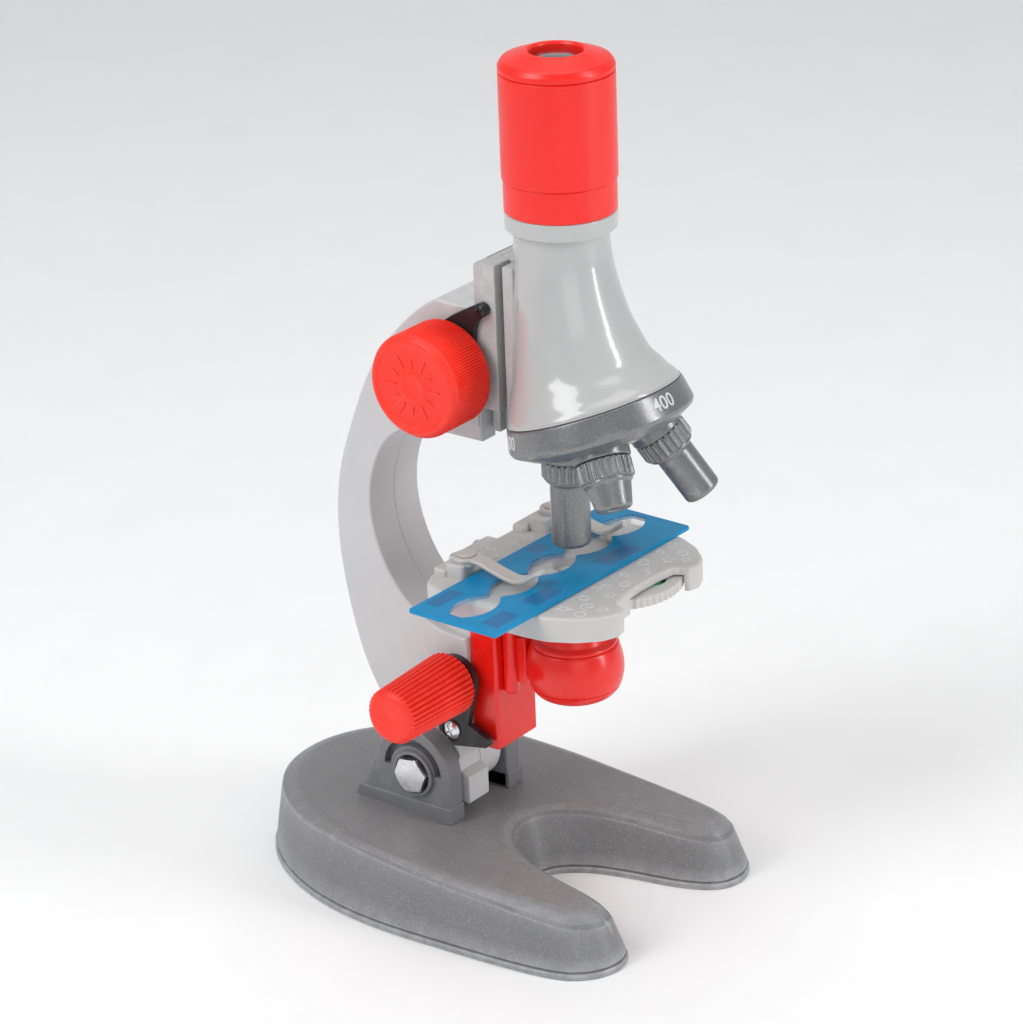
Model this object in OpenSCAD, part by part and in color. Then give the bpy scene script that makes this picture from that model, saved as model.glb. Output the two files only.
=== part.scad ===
// Child's compound microscope: horseshoe base, tilting C-shaped arm, geared tube and
// lamp carriage, three-objective turret, stage with clips, filter wheel and slide.
// Frame: X forward (the way the horseshoe opens), Y across, Z up. The origin is on the
// resting plane, on the plane of symmetry, straight below the tilt hinge.

/* [Base] */
// Height of the tilt hinge above the resting plane
hinge_z = 29; // [29:0.2:29.6]
// Half width of the base at its widest
base_half_w = 41; // [40.5:0.25:41.5]
// Distance of the base's rear edge behind the hinge
base_rear = 49.3; // [48:0.5:50]
// Thickness of the bottom cover
plate_t = 1.6; // [1.4:0.1:1.8]
// Wall thickness of the base shell
base_wall = 2.2; // [2:0.1:2.4]

/* [Arm] */
// Half width of the arm
arm_hw = 9.5; // [9.4:0.05:9.6]
// Wall thickness of the arm's half shells
arm_wall = 1.8; // [1.6:0.1:2]
// Height of the focus knobs' axis
focus_z = 138.2; // [138:0.1:138.4]
// Height of the lamp carriage knobs' axis
carriage_z = 56; // [55.8:0.1:56.2]

/* [Optics] */
// Distance of the optical axis in front of the hinge
optic_x = 40; // [40:0.1:40.2]
// Radius of the eyepiece sleeve
sleeve_r = 13.65; // [13.6:0.05:14]
// Top of the eyepiece cap above the resting plane
top_z = 218.3; // [218:0.1:219]
// Length from the turret's centre of swing to the long objective's tip
long_tip = 59.9; // [59:0.1:60]
// Length from the turret's centre of swing to the medium objective's tip
medium_tip = 56.5; // [55:0.1:57]
// Length from the turret's centre of swing to the short objective's tip
short_tip = 49.5; // [48:0.1:51]

/* [Controls] */
// Radius of the focus knobs
knob_r = 13; // [12:0.1:13.2]
// Number of knurls round a focus knob
knurls = 60; // [40:2:72]
// Number of grooves round a carriage knob
grooves = 36; // [24:2:40]
// Pitch radius of both rack pinions
pinion_r = 6; // [6:1:6]

/* [Stage] */
// Height of the stage's top face
stage_z = 89.1; // [89:0.1:89.1]
// Half width of the stage
stage_hw = 28.7; // [28:0.1:29]
// Length of the specimen slide
slide_l = 76; // [75:0.5:76]
// Width of the specimen slide
slide_w = 26; // [25:0.5:26]
// Thickness of the specimen slide
slide_t = 1.2; // [1.1:0.05:1.25]

/* [Hidden] */
$fn = 64;
fn_small = 32;
fn_mid = 48;
fn_big = 96;
sides = [-1, 1];             // near side (-Y), far side (+Y)
gap = 0.05;                  // radial running clearance

// axes: [x, z] for those that run across, [x, y] for those that stand upright
hinge = [0, hinge_z];
focus = [14.4, focus_z];
carriage = [11.3, carriage_z];
optic = [optic_x, 0];
wheel = [47.5, 6.6];         // filter wheel, about 10 mm from the optical axis
clip_x = 21.6;
clip_y = 17.4;
lamp_axis = [0, 62.5];       // lamp flip axis along X, as [y, z]

bolt_r = 3;                  // hinge bolt
focus_shaft_r = 2.5;
carriage_shaft_r = 2;
pin_r = 1.5;                 // pivots of the clips, the filter wheel and the lamp
wheel_z = 83.7;              // underside of the filter wheel
turret_tilt = 20;
swing_z = 155;               // turret axis meets the optical axis here

// screws shared by two or more pieces
focus_screw = [24.3, 154.9];     // holds a focus retainer, [x, z]
carriage_screw = [10, 42.1];     // holds a carriage retainer, [x, z]
door_screw = [10.6, 0];          // holds the battery door, [x, y]
stage_screw_y = 4.6;
stage_screw_z = 84.3;

// ---------------------------------------------------------------- curves
// Catmull-Rom point between b and c, at share t of the way
function between(a, b, c, d, t) = 0.5 * (2 * b + (c - a) * t
    + (2 * a - 5 * b + 4 * c - d) * t * t + (3 * b - 3 * c + d - a) * t * t * t);
// smooth open curve through the points, in steps a span
function spline(points, steps) = let (last = len(points) - 1) concat(
  [for (i = [0 : last - 1]) for (j = [0 : steps - 1])
    between(points[max(i - 1, 0)], points[i], points[i + 1], points[min(i + 2, last)], j / steps)],
  [points[last]]);
// smooth closed curve through the points
function closed_spline(points, steps) = let (count = len(points))
  [for (i = [0 : count - 1]) for (j = [0 : steps - 1])
    between(points[(i + count - 1) % count], points[i], points[(i + 1) % count],
      points[(i + 2) % count], j / steps)];
function reversed(list) = [for (i = [len(list) - 1 : -1 : 0]) list[i]];
function part(list, first, last) = [for (i = [first : last]) list[i]];
// closed outline from its +Y half, whose two ends lie on the plane of symmetry
function mirrored(half) =
  concat(half, [for (i = [len(half) - 2 : -1 : 1]) [half[i][0], -half[i][1]]]);

// unit vector to the left of a direction; it points outwards on a clockwise loop
function left_of(dir) = [-dir[1], dir[0]] / norm(dir);
function loop_normals(loop) = let (count = len(loop))
  [for (i = [0 : count - 1]) left_of(loop[(i + 1) % count] - loop[(i + count - 1) % count])];
// a clockwise loop moved inwards
function inset(loop, distance) = let (normals = loop_normals(loop))
  [for (i = [0 : len(loop) - 1]) loop[i] - distance * normals[i]];
// an open curve moved to its right
function shifted(path, distance) = let (last = len(path) - 1)
  [for (i = [0 : last]) path[i] - distance * left_of(path[min(i + 1, last)] - path[max(i - 1, 0)])];
// outline of a strip that follows the path
function ribbon(path, half_t) = concat(shifted(path, half_t), reversed(shifted(path, -half_t)));

// ---------------------------------------------------------------- solids
// skin over a stack of rings with the same number of points
module skin(rings) {
  count = len(rings[0]);
  top = (len(rings) - 1) * count;
  polyhedron(points = [for (ring = rings) each ring], faces = concat(
    [[for (i = [count - 1 : -1 : 0]) i]],
    [[for (i = [0 : count - 1]) top + i]],
    [for (j = [0 : len(rings) - 2]) for (i = [0 : count - 1])
      let (here = j * count + i, next = j * count + (i + 1) % count)
      [here, next, here + count]],
    [for (j = [0 : len(rings) - 2]) for (i = [0 : count - 1])
      let (here = j * count + i, next = j * count + (i + 1) % count)
      [here + count, next, next + count]]));
}
module box(corner, size) translate(corner) cube(size);
// plate drawn in the XZ plane, between two Y positions in either order
module xz_plate(from, to)
  translate([0, max(from, to), 0]) rotate([90, 0, 0]) linear_extrude(abs(to - from)) children();
// cylinder along Y at [x, z], between two Y positions in either order
module y_cylinder(spot, radius, from, to)
  translate([spot[0], max(from, to), spot[1]]) rotate([90, 0, 0])
    cylinder(r = radius, h = abs(to - from));
// cylinder along X at [y, z]
module x_cylinder(spot, radius, from, to)
  translate([from, spot[0], spot[1]]) rotate([0, 90, 0]) cylinder(r = radius, h = to - from);
// upright cylinder at [x, y]
module z_cylinder(spot, radius, bottom, height)
  translate([spot[0], spot[1], bottom]) cylinder(r = radius, h = height);
module at_xz(spot) translate([spot[0], 0, spot[1]]) children();
// turns +Z away from the plane of symmetry, starting at distance y on that side
module outward(spot, side, y)
  translate([spot[0], side * y, spot[1]]) rotate([-90 * side, 0, 0]) children();

// flat link with two round ends
module link(end_a, radius_a, end_b, radius_b) {
  along = atan2(end_b[1] - end_a[1], end_b[0] - end_a[0]);
  spread = acos((radius_a - radius_b) / norm(end_b - end_a));
  left = [cos(along + spread), sin(along + spread)];
  right = [cos(along - spread), sin(along - spread)];
  translate(end_a) circle(radius_a);
  translate(end_b) circle(radius_b);
  polygon([end_a + radius_a * left, end_a, end_a + radius_a * right,
    end_b + radius_b * right, end_b, end_b + radius_b * left]);
}
// cross-head screw along +Z, from its point at 0 to the underside of its head at length
module screw(radius, length, head_r, head_h) {
  cylinder(r = radius, h = length + 0.01, $fn = fn_small);
  difference() {
    translate([0, 0, length]) cylinder(r = head_r, h = head_h, $fn = fn_small);
    for (turn = [0, 90]) rotate([0, 0, turn])
      box([-head_r * 0.6, -0.25, length + head_h * 0.5], [head_r * 1.2, 0.5, 2]);
  }
}
// disc edged with shallow grooves
module grooved_disc(count, outer_r, groove_r)
  polygon([for (i = [0 : count * 2 - 1]) let (radius = i % 2 == 0 ? outer_r : groove_r)
    radius * [cos(180 * i / count), sin(180 * i / count)]]);

// ---------------------------------------------------------------- gearing
teeth = 16;
gear_module = 2 * pinion_r / teeth;
pressure_angle = 20;
tooth_tip = 0.62;            // tooth height beyond the pitch line
tooth_root = 0.85;           // gap depth below the pitch line
pinion_base_r = pinion_r * cos(pressure_angle);

function involute(angle) = tan(angle) * 180 / PI - angle;
function tooth_half_angle(radius) =
  let (roll = radius <= pinion_base_r ? 0 : acos(pinion_base_r / radius))
  90 / teeth - 0.45 + involute(pressure_angle) - involute(roll);
// involute pinion, with a tooth pointing along +X
module pinion2d() {
  flank = [pinion_r - tooth_root, pinion_base_r, pinion_r - 0.15, pinion_r + 0.2,
    pinion_r + 0.45, pinion_r + tooth_tip];
  polygon([for (i = [0 : teeth - 1]) each concat(
    [for (radius = flank) let (angle = i * 360 / teeth - tooth_half_angle(radius))
      radius * [cos(angle), sin(angle)]],
    [for (radius = reversed(flank)) let (angle = i * 360 / teeth + tooth_half_angle(radius))
      radius * [cos(angle), sin(angle)]])]);
}
module pinion(spot, shaft_r) difference() {
  at_xz(spot) xz_plate(-3, 3) pinion2d();
  y_cylinder(spot, shaft_r, -5, 5);
}
// rack in front of a pinion: teeth point to -X and a gap faces the pinion's axis
module rack2d(spot, teeth_below, teeth_above, back_x) {
  pitch = PI * gear_module;
  half_tooth = pitch / 4 - 0.05;
  pitch_x = spot[0] + pinion_r;
  root_x = pitch_x + tooth_root;
  bottom = spot[1] - teeth_below * pitch;
  top = spot[1] + teeth_above * pitch;
  // corners of a tooth: [distance in front of the pitch line, lower or upper flank]
  corners = [[tooth_root, -1], [-tooth_tip, -1], [-tooth_tip, 1], [tooth_root, 1]];
  polygon(concat([[back_x, bottom], [root_x, bottom]],
    [for (i = [-teeth_below : teeth_above - 1]) for (corner = corners)
      [pitch_x + corner[0], spot[1] + (i + 0.5) * pitch
        + corner[1] * (half_tooth + corner[0] * tan(pressure_angle))]],
    [[root_x, top], [back_x, top]]));
}

// ---------------------------------------------------------------- base
base_arc_x = 11.3;           // centre of the rear arc
// +Y half outline of the horseshoe [x, y], rear centre to the middle of the notch
base_half = concat([[-base_rear, 0]],
  [for (t = [165, 150, 135, 120, 105])
    [base_arc_x + (base_rear + base_arc_x) * cos(t), base_half_w * sin(t)]],
  [[base_arc_x, base_half_w], [26, base_half_w - 0.3], [42, 40], [55, 38.7], [63.2, 36.4],
   [68.1, 31.6], [69.7, 25.8], [68, 20.5], [63.3, 17.1], [56, 14.8], [46, 12.9], [37.5, 10.7],
   [31.2, 7.5], [27.6, 3.9], [26.4, 0]]);
base_loop = closed_spline(mirrored(base_half), 2);
base_normals = loop_normals(base_loop);

// the top slopes down gently towards the prongs, from top_rear_z at top_rear_x
top_slope = 0.045;
top_rear_x = -40;
top_rear_z = 19.6;
top_inset = 7.5;             // how far the top's edge lies inside the outline
ear_foot_z = 17.1;

// base screws: [x, y, height of the post]
base_posts = [[-36, 0, 15.2], [20, 33, 13], [20, -33, 13], [60, 27, 11.6], [60, -27, 11.6]];
// steps of the hollow: [bottom above the cover, height, extra wall]
base_hollows = [[-1, 6.4, 0.8], [0, 9.2, 2.1], [0, 11.4, 4.6]];

function ramp(x, start, end) = let (share = min(1, max(0, (x - start) / (end - start))))
  share * share * (3 - 2 * share);
function shoulder_z(x) = min(17.5, 16.9 - 0.08 * (x + 3));
function shoulder_inset(x) = 2.3 + 1.9 * ramp(x, -30, 8) - 0.8 * ramp(x, 42, 66);
function plateau_z(x) = top_rear_z - top_slope * (x - top_rear_x);
// the outline moved inwards, a share of the way from the shoulder to the top's edge
function base_ring(share) = [for (i = [0 : len(base_loop) - 1])
  let (shoulder = shoulder_inset(base_loop[i][0]))
  base_loop[i] - (shoulder + share * (top_inset - shoulder)) * base_normals[i]];

module base_body() skin([
  [for (p = base_loop) [p[0], p[1], plate_t]],
  [for (p = base_ring(0)) [p[0], p[1], shoulder_z(p[0])]],
  [for (p = base_ring(0.45))
    [p[0], p[1], 0.5 * shoulder_z(p[0]) + 0.5 * plateau_z(p[0]) + 0.35]],
  [for (p = base_ring(1)) [p[0], p[1], plateau_z(p[0]) + 0.4]]]);
// hinge ear in the XZ plane
module ear2d() difference() {
  union() {
    polygon([[10.7, ear_foot_z], [10.7, hinge_z], [0, hinge_z], [-11.6, hinge_z + 4],
      [-18.2, hinge_z - 11], [-18.4, ear_foot_z]]);
    translate([-0.8, hinge_z]) circle(11.5);
  }
  translate([-20, 0]) square([40, ear_foot_z]);
}
// curved pocket over the bolt boss
module ear_pocket(side)
  translate([-0.6, side > 0 ? 16 : -12.4, hinge_z]) rotate([90, 0, 0]) difference() {
    cylinder(r = 8.9, h = 3.6);
    translate([0, 0, -1]) cylinder(r = 6.9, h = 6);
    box([-20, -23.2, -1], [40, 24, 6]);
  }
module base_shell() color([0.40, 0.40, 0.41]) difference() {
  union() {
    difference() {
      base_body();
      // trims the top flat
      translate([top_rear_x, 0, top_rear_z]) rotate([0, atan(top_slope), 0])
        box([-40, -60, 0], [180, 120, 20]);
      // stepped hollow under the walls and the top
      for (step = base_hollows) translate([0, 0, plate_t + step[0]])
        linear_extrude(step[1]) polygon(inset(base_loop, base_wall + step[2]));
      translate([0, 0, plate_t]) linear_extrude(14.2)
        polygon(concat([for (t = [90 : 12 : 270]) [5 + 46 * cos(t), 32.5 * sin(t)]],
          [[8, -32.5], [8, 32.5]]));
      // room for the two cells and their contacts
      box([-26.2, -27.6, plate_t], [31.2, 55.2, 15.3]);
    }
    for (side = sides) {
      xz_plate(side * 9, side * 14.4) ear2d();
      // foot of each ear, and the round boss for the bolt
      xz_plate(side * 9, side * 15)
        polygon([[11.1, ear_foot_z], [11.1, 21.8], [-17.6, 21.8], [-19.4, ear_foot_z]]);
      y_cylinder(hinge, 6, side * 14, side * 15.6);
    }
    for (post = base_posts) z_cylinder(post, 3, plate_t, post[2], $fn = fn_small);
    // ribs that hold the cells
    for (y = [-29, 27.5]) box([-24, y, plate_t], [30, 1.5, 15.2]);
    box([-11.4, -26, 13], [1.2, 52, 4.5]);
  }
  y_cylinder(hinge, bolt_r + gap, -20, 20);
  for (side = sides) {
    y_cylinder(hinge, 5.1, side * 13.4, side * 20);
    ear_pocket(side);
  }
  // pilot holes, wide enough for the flats of the hole to clear the round shank
  for (post = base_posts) z_cylinder(post, 1.215, plate_t - 1, 10, $fn = fn_small);
  z_cylinder([6.6, 0], 1.3, plate_t - 1, 30, $fn = fn_small);
}
module base_plate() color([0.36, 0.36, 0.37]) {
  difference() {
    linear_extrude(plate_t) polygon(inset(base_loop, -0.45));
    // battery opening
    box([-30, -29.5, -1], [38, 59, 4]);
    // screw holes and the recesses for their heads
    for (post = base_posts) {
      z_cylinder(post, 1.35, -1, 4, $fn = fn_small);
      z_cylinder(post, 2.9, -1, 1.9, $fn = fn_small);
    }
    // recess for the door's tongue
    box([7.5, -4.2, -1], [6.1, 8.4, 1.85]);
    z_cylinder(door_screw, 1.05, -1, 4, $fn = fn_small);
  }
  // boss for the door screw
  difference() {
    z_cylinder(door_screw, 2.6, plate_t, 5, $fn = fn_small);
    z_cylinder(door_screw, 1.05, plate_t - 1, 8, $fn = fn_small);
  }
}
module base_screws() color("silver") for (post = base_posts)
  translate([post[0], post[1], 9.7]) mirror([0, 0, 1]) screw(1.2, 8.8, 2.6, 0.8);

// ---------------------------------------------------------------- battery
cell_z = 9.55;
cell_r = 7.2;
function cell_x(i) = -18.6 + 15.6 * i;

module battery_door() color([0.36, 0.36, 0.37]) difference() {
  union() {
    box([-29.8, -29.3, 0], [37.6, 58.6, 1.5]);
    // two tabs that hook over the cover
    for (y = [-14, 8]) {
      box([-31.5, y, 1.65], [6, 6, 1]);
      box([-29.8, y, 1], [2, 6, 1]);
    }
    // tongue for the screw
    box([7.7, -4, 0], [5.7, 8, 0.8]);
  }
  z_cylinder(door_screw, 1.3, -1, 4, $fn = fn_small);
  z_cylinder(door_screw, 2.3, -1, 1.5, $fn = fn_small);
  // shallow grooves
  for (i = [0 : 3]) box([-2 - i * 2.2, -10, -0.1], [0.9, 20, 0.5]);
}
module battery_door_screw() color("silver")
  translate([door_screw[0], door_screw[1], 6.4]) mirror([0, 0, 1]) screw(1.05, 5.9, 2.1, 0.4);
// two cells that point opposite ways
module battery_cells() color([0.2, 0.45, 0.3])
  for (i = [0, 1]) translate([cell_x(i), 0, cell_z]) rotate([90, 0, 180 * i]) {
    translate([0, 0, -24.9]) cylinder(r = cell_r, h = 48.6);
    translate([0, 0, 23.6]) cylinder(r = 2.7, h = 1.4);
  }
module battery_contacts() color("gold") for (i = [0, 1]) {
  // stud against the cell's tip
  translate([cell_x(i), i == 0 ? -27.2 : 25.05, cell_z]) rotate([-90, 0, 0])
    cylinder(r = 2.2, h = 2.15, $fn = fn_small);
  for (y = [-27.4, 27.1]) box([cell_x(i) - 4.5, y, 4.5], [9, 0.3, 11]);
  // stepped spring against the other end
  side = i == 0 ? 1 : -1;
  for (k = [0 : 2])
    translate([cell_x(i), side * 27.1, cell_z]) rotate([side * 90, 0, 0])
      translate([0, 0, 0.7 * k]) difference() {
        cylinder(r = 4.2 - k * 0.8, h = 0.71, $fn = fn_small);
        translate([0, 0, -1]) cylinder(r = 3.2 - k * 0.8, h = 3, $fn = fn_small);
      }
}

// ---------------------------------------------------------------- hinge
hex_r = 4.9;                 // bolt head and nut, across the corners

module hinge_bolt() color("silver") {
  y_cylinder(hinge, bolt_r, -13.4, 17);
  y_cylinder(hinge, hex_r, -16.7, -13.4, $fn = 6);
}
module hinge_nut() color("silver") difference() {
  y_cylinder(hinge, hex_r, 13.45, 16.4, $fn = 6);
  y_cylinder(hinge, bolt_r, 13, 17);
}
module hinge_washers() color([0.15, 0.15, 0.16]) for (side = sides) difference() {
  y_cylinder(hinge, 7, side * 8.25, side * 8.95);
  y_cylinder(hinge, bolt_r + gap, -10, 10);
}

// ---------------------------------------------------------------- arm
// rear edge of the C [x, z], top to bottom
arm_outer = spline([[9, 154.2], [7.2, 153.2], [4.6, 151.5], [0.9, 148.4], [-3.2, 144.3],
  [-8.9, 137.6], [-14, 128.6], [-18.6, 117.6], [-22.4, 106.8], [-24.2, 98], [-24.8, 89],
  [-24.2, 79.5], [-22.4, 68.8], [-20, 59.3], [-17.4, 52.2], [-13.6, 45]], 4);
// front edge of the C [x, z], bottom to top
arm_inner = spline([[13.9, 66.8], [5.5, 67.6], [-2.4, 71.6], [-7.6, 76.8], [-11.4, 83.6],
  [-13.6, 91], [-14, 98], [-12.8, 105], [-9.6, 112.2], [-5, 117], [1, 119.8], [6, 120.2]], 4);
arm_screw_spots = [[-19, 99], [-14.5, 66], [3.5, 131], [6.4, 147.2]];
arm_top = 154.2;
arm_front = 21.2;            // front face of the head
pad_y = 10;                  // outer face of the raised pad and of the focus guide
rack_slot_hw = 3.9;

module arm2d() polygon(concat([[arm_front, arm_top]], arm_outer,
  [[-9, 32], [9, 32], [10.5, 37], [13.9, 42.5]], arm_inner, [[arm_front, 120.2]]));
module arm_cavity2d() {
  wall = arm_wall + 0.3;
  polygon(concat([[19.2, 152], [9.8, 152]],
    part(shifted(arm_outer, -wall), 4, len(arm_outer) - 9),
    [[-8, 45], [2, 44.5], [11.8, 48], [11.8, 64.4]],
    part(shifted(arm_inner, -wall), 4, len(arm_inner) - 4), [[19.2, 122.4]]));
}
module arm_shell(side) difference() {
  union() {
    xz_plate(0, side * arm_hw) arm2d();
    // narrower neck that carries the stage
    xz_plate(0, side * 7.5) polygon([[5.5, 64], [13.9, 64], [13.9, 75.5], [14.4, 75.5],
      [14.4, stage_z - 2.2], [8.4, stage_z - 2.2], [8.4, 76]]);
    // raised pad behind the focus knob
    xz_plate(side * 9, side * pad_y)
      polygon([[11.5, 124], [20.9, 124], [20.9, arm_top], [11.5, arm_top]]);
  }
  xz_plate(-side, side * (arm_hw - arm_wall)) arm_cavity2d();
  // the hub is narrower, so that it swings between the ears
  y_cylinder(hinge, 16, side * 8.15, side * 20);
}
module arm_half(side) difference() {
  union() {
    arm_shell(side);
    // hub
    intersection() {
      y_cylinder(hinge, 9.6, 0, side * 8.2);
      box([-20, -20, 0], [40, 40, 60]);
    }
    // bearing bosses and screw posts
    y_cylinder(focus, 4.6, side * 3.3, side * (arm_hw - 1), $fn = fn_mid);
    y_cylinder(carriage - [1, 0], 3.4, side * 3.3, side * (arm_hw - 1), $fn = fn_mid);
    for (spot = arm_screw_spots)
      y_cylinder(spot, 2.9, 0, side * (arm_hw - 1), $fn = fn_small);
    // upright stop in front of the hub
    if (side < 0) xz_plate(-8.1, -0.4)
      polygon([[6, 26], [6, 21.4], [11.6, 20.6], [12.2, 21.2], [12.2, 28], [9, 29.5]]);
    // guide rail of the lamp carriage
    xz_plate(side * 3.4, side * 6) polygon([[13, 40], [18.4, 40], [18.4, 73.6], [13, 73.6]]);
  }
  y_cylinder(hinge, bolt_r + 0.06, -20, 20);
  y_cylinder(focus, focus_shaft_r + gap, -20, 20);
  y_cylinder(carriage, carriage_shaft_r + gap, -20, 20);
  // slot for the focus rack, and room for both pinions
  box([18.6, -rack_slot_hw, 118], [3, 2 * rack_slot_hw, 35.2]);
  for (spot = [focus, carriage]) y_cylinder(spot, 7.1, -3.2, 3.2, $fn = fn_mid);
  for (spot = arm_screw_spots) {
    y_cylinder(spot, 1.1, -6.4, 8, $fn = fn_small);
    y_cylinder(spot, 2.45, 7.8, 12, $fn = fn_small);
  }
  // pilot holes of the retainer screws and the stage screws
  for (end = sides) {
    y_cylinder(carriage_screw, 1.1, end * 5, end * 12, $fn = fn_small);
    x_cylinder([end * stage_screw_y, stage_screw_z], 1.2, 8, 16, $fn = fn_small);
  }
}
module arm_near() color([0.80, 0.80, 0.80]) arm_half(-1);
module arm_far() color([0.80, 0.80, 0.80]) arm_half(1);
module arm_screws() color("silver")
  for (spot = arm_screw_spots) outward(spot, 1, -6.2) screw(1.1, 14, 2.4, 1.5);

// C-shaped guide that the tube's rail slides in
module focus_guide() color([0.78, 0.78, 0.78]) difference() {
  xz_plate(-pad_y, pad_y) polygon([[arm_front, 129.4], [27.4, 129.4], [27.4, 166.1],
    [22.2, 166.1], [21.5, 165.8], [arm_front, 165.1]]);
  box([22, -6, 129], [2.4, 12, 40]);
  box([24, -4, 129], [10, 8, 40]);
  box([20, -rack_slot_hw, 129], [3, 2 * rack_slot_hw, 24.2]);
  for (side = sides) y_cylinder(focus_screw, 0.9, side * 6.5, side * 12, $fn = fn_small);
}
// upper and lower edges of the focus retainer's horn [x, z]
horn_upper = spline([[9.6, 146.4], [11, 148.6], [14, 151], [18.5, 153.8], [23.4, 156.4]], 3);
horn_lower = spline([[23.8, 152.6], [22.5, 150.7], [21.9, 148], [21.3, 143]], 3);
// round plate behind the knob, with a horn that curves up to its screw
module focus_retainers() color([0.08, 0.08, 0.08]) for (side = sides) difference() {
  xz_plate(side * (pad_y + gap), side * 11.6) {
    translate(focus) circle(8.4);
    polygon(concat([[8.2, 143]], horn_upper, [[25.6, 153.7]], horn_lower));
    translate(focus_screw) circle(1.8);
  }
  y_cylinder(focus, focus_shaft_r + 0.25, -20, 20);
  y_cylinder(focus_screw, 0.95, -20, 20, $fn = fn_small);
}
module carriage_retainers() color([0.08, 0.08, 0.08]) for (side = sides) difference() {
  xz_plate(side * (arm_hw + gap), side * 11.3) {
    link(carriage, 6.2, carriage_screw, 4.2);
    link(carriage_screw, 4.2, [19.7, 41], 1.4);
  }
  y_cylinder(carriage, carriage_shaft_r + 0.25, -20, 20);
  y_cylinder(carriage_screw, 1.25, -20, 20, $fn = fn_small);
  // room for the hinge's ears
  y_cylinder(hinge, 13.4, -20, 20);
}
module retainer_screws() color("silver") for (side = sides) {
  outward(carriage_screw, side, 5.5) screw(1.1, 5.85, 2.4, 1.1);
  outward(focus_screw, side, 7) screw(0.9, 4.65, 1.5, 0.8);
}
// flat cable inside the arm; its path is [x, z]
cable_path = spline([[-6, 47.5], [-9, 53], [-9, 60], [-3, 63.6], [4, 63.6]], 4);
module lamp_cable() color([0.1, 0.1, 0.1]) xz_plate(-1.5, 1.5) polygon(ribbon(cable_path, 0.6));

// ---------------------------------------------------------------- stage
// +Y half outline of the stage [x, y], rear to front
stage_half = [[14.4, 0], [14.4, 12], [14.4, 22.5], [16.6, 27], [22, stage_hw], [34, stage_hw],
  [46, stage_hw], [53, 28], [59.2, 25], [63.8, 20.8], [65.5, 16.8], [64.9, 13.4], [62.5, 12.7],
  [61.2, 11.5], [60.5, 6], [60.3, 0]];
stage_loop = mirrored(stage_half);

module stage_plate() color([0.76, 0.75, 0.74]) difference() {
  union() {
    difference() {
      translate([0, 0, stage_z - 6.2]) linear_extrude(6.2) polygon(stage_loop);
      difference() {
        translate([0, 0, stage_z - 7]) linear_extrude(5) polygon(inset(stage_loop, 1.8));
        // rear block that takes the screws
        box([14, -9, stage_z - 8], [5.6, 18, 8]);
      }
      // the wheel comes through the front wall
      z_cylinder(wheel, 17.4, stage_z - 7, 5);
      box([40, -9.5, stage_z - 7], [19, 19, 5]);
    }
    // clip blocks, each with a round boss
    for (side = sides) {
      box([17.8, side > 0 ? 11.6 : -21.4, stage_z - 1], [5.6, 9.8, 4.6]);
      z_cylinder([clip_x, side * clip_y], 3, stage_z + 2.6, 1.35, $fn = fn_mid);
    }
  }
  z_cylinder(optic, 5, stage_z - 9, 20);
  z_cylinder(wheel, pin_r, stage_z - 9, 8.4, $fn = fn_mid);
  for (side = sides) {
    z_cylinder([clip_x, side * clip_y], pin_r, stage_z, 10, $fn = fn_mid);
    x_cylinder([side * stage_screw_y, stage_screw_z], 1.2, 12, 19, $fn = fn_small);
  }
}
module stage_screws() color("silver") for (side = sides)
  translate([18.6, side * stage_screw_y, stage_screw_z]) rotate([0, -90, 0])
    screw(1.2, 10.2, 2.2, 1.2);
module clip_pins() color("silver") for (side = sides)
  translate([clip_x, side * clip_y, stage_z + gap]) {
    cylinder(r = pin_r, h = 5.4, $fn = fn_mid);
    translate([0, 0, 5.1]) cylinder(r = 2.3, h = 0.7, $fn = fn_mid);
  }
module filter_pivot() color("silver") {
  z_cylinder(wheel, 2.6, 83, 0.6, $fn = fn_mid);
  z_cylinder(wheel, pin_r, 83, 5.3, $fn = fn_mid);
}

// Filter wheel with five holes; hole 0 lies on the optical axis and holds no film
film_z = wheel_z + 1.2;
film_seat_r = 4;
function hole_at(i) = let (angle = atan2(-wheel[1], optic_x - wheel[0]) + i * 72)
  wheel + 10 * [cos(angle), sin(angle)];

module filter_wheel() color([0.77, 0.76, 0.75]) difference() {
  translate([wheel[0], wheel[1], wheel_z]) linear_extrude(2.9) grooved_disc(60, 17, 16.6);
  z_cylinder(wheel, pin_r + gap, wheel_z - 1, 6, $fn = fn_mid);
  for (i = [0 : 4]) z_cylinder(hole_at(i), 3.4, wheel_z - 1, 6, $fn = fn_mid);
  for (i = [1 : 4]) z_cylinder(hole_at(i), film_seat_r, film_z, 6, $fn = fn_mid);
}
module film(i) z_cylinder(hole_at(i), film_seat_r - gap, film_z, 0.6, $fn = fn_mid);
module filter_red() color([0.9, 0.1, 0.1, 0.6]) film(4);
module filter_green() color([0.1, 0.7, 0.2, 0.6]) film(2);
module filter_blue() color([0.1, 0.3, 0.9, 0.6]) film(3);
module filter_yellow() color([0.95, 0.85, 0.1, 0.6]) film(1);

// spring clip: a bent strip from its pivot to a turned-up tip, [distance forward, z]
clip_path = spline([[0, 93.65], [2, 93.65], [5, 93.4], [9, 92.2], [12.5, 91.35], [15.4, 91.1],
  [18.2, 92], [20.6, 93.6], [22.4, 94.9]], 3);
module clip(side) translate([clip_x, side * clip_y, 0]) difference() {
  union() {
    xz_plate(-2.1, 2.1) polygon(ribbon(clip_path, 0.55));
    z_cylinder([0, 0], 3.4, 93.1, 1.0, $fn = fn_mid);
  }
  z_cylinder([0, 0], pin_r + gap, 80, 20, $fn = fn_mid);
}
module clip_near() color([0.74, 0.73, 0.71]) clip(-1);
module clip_far() color([0.74, 0.73, 0.71]) clip(1);

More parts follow.
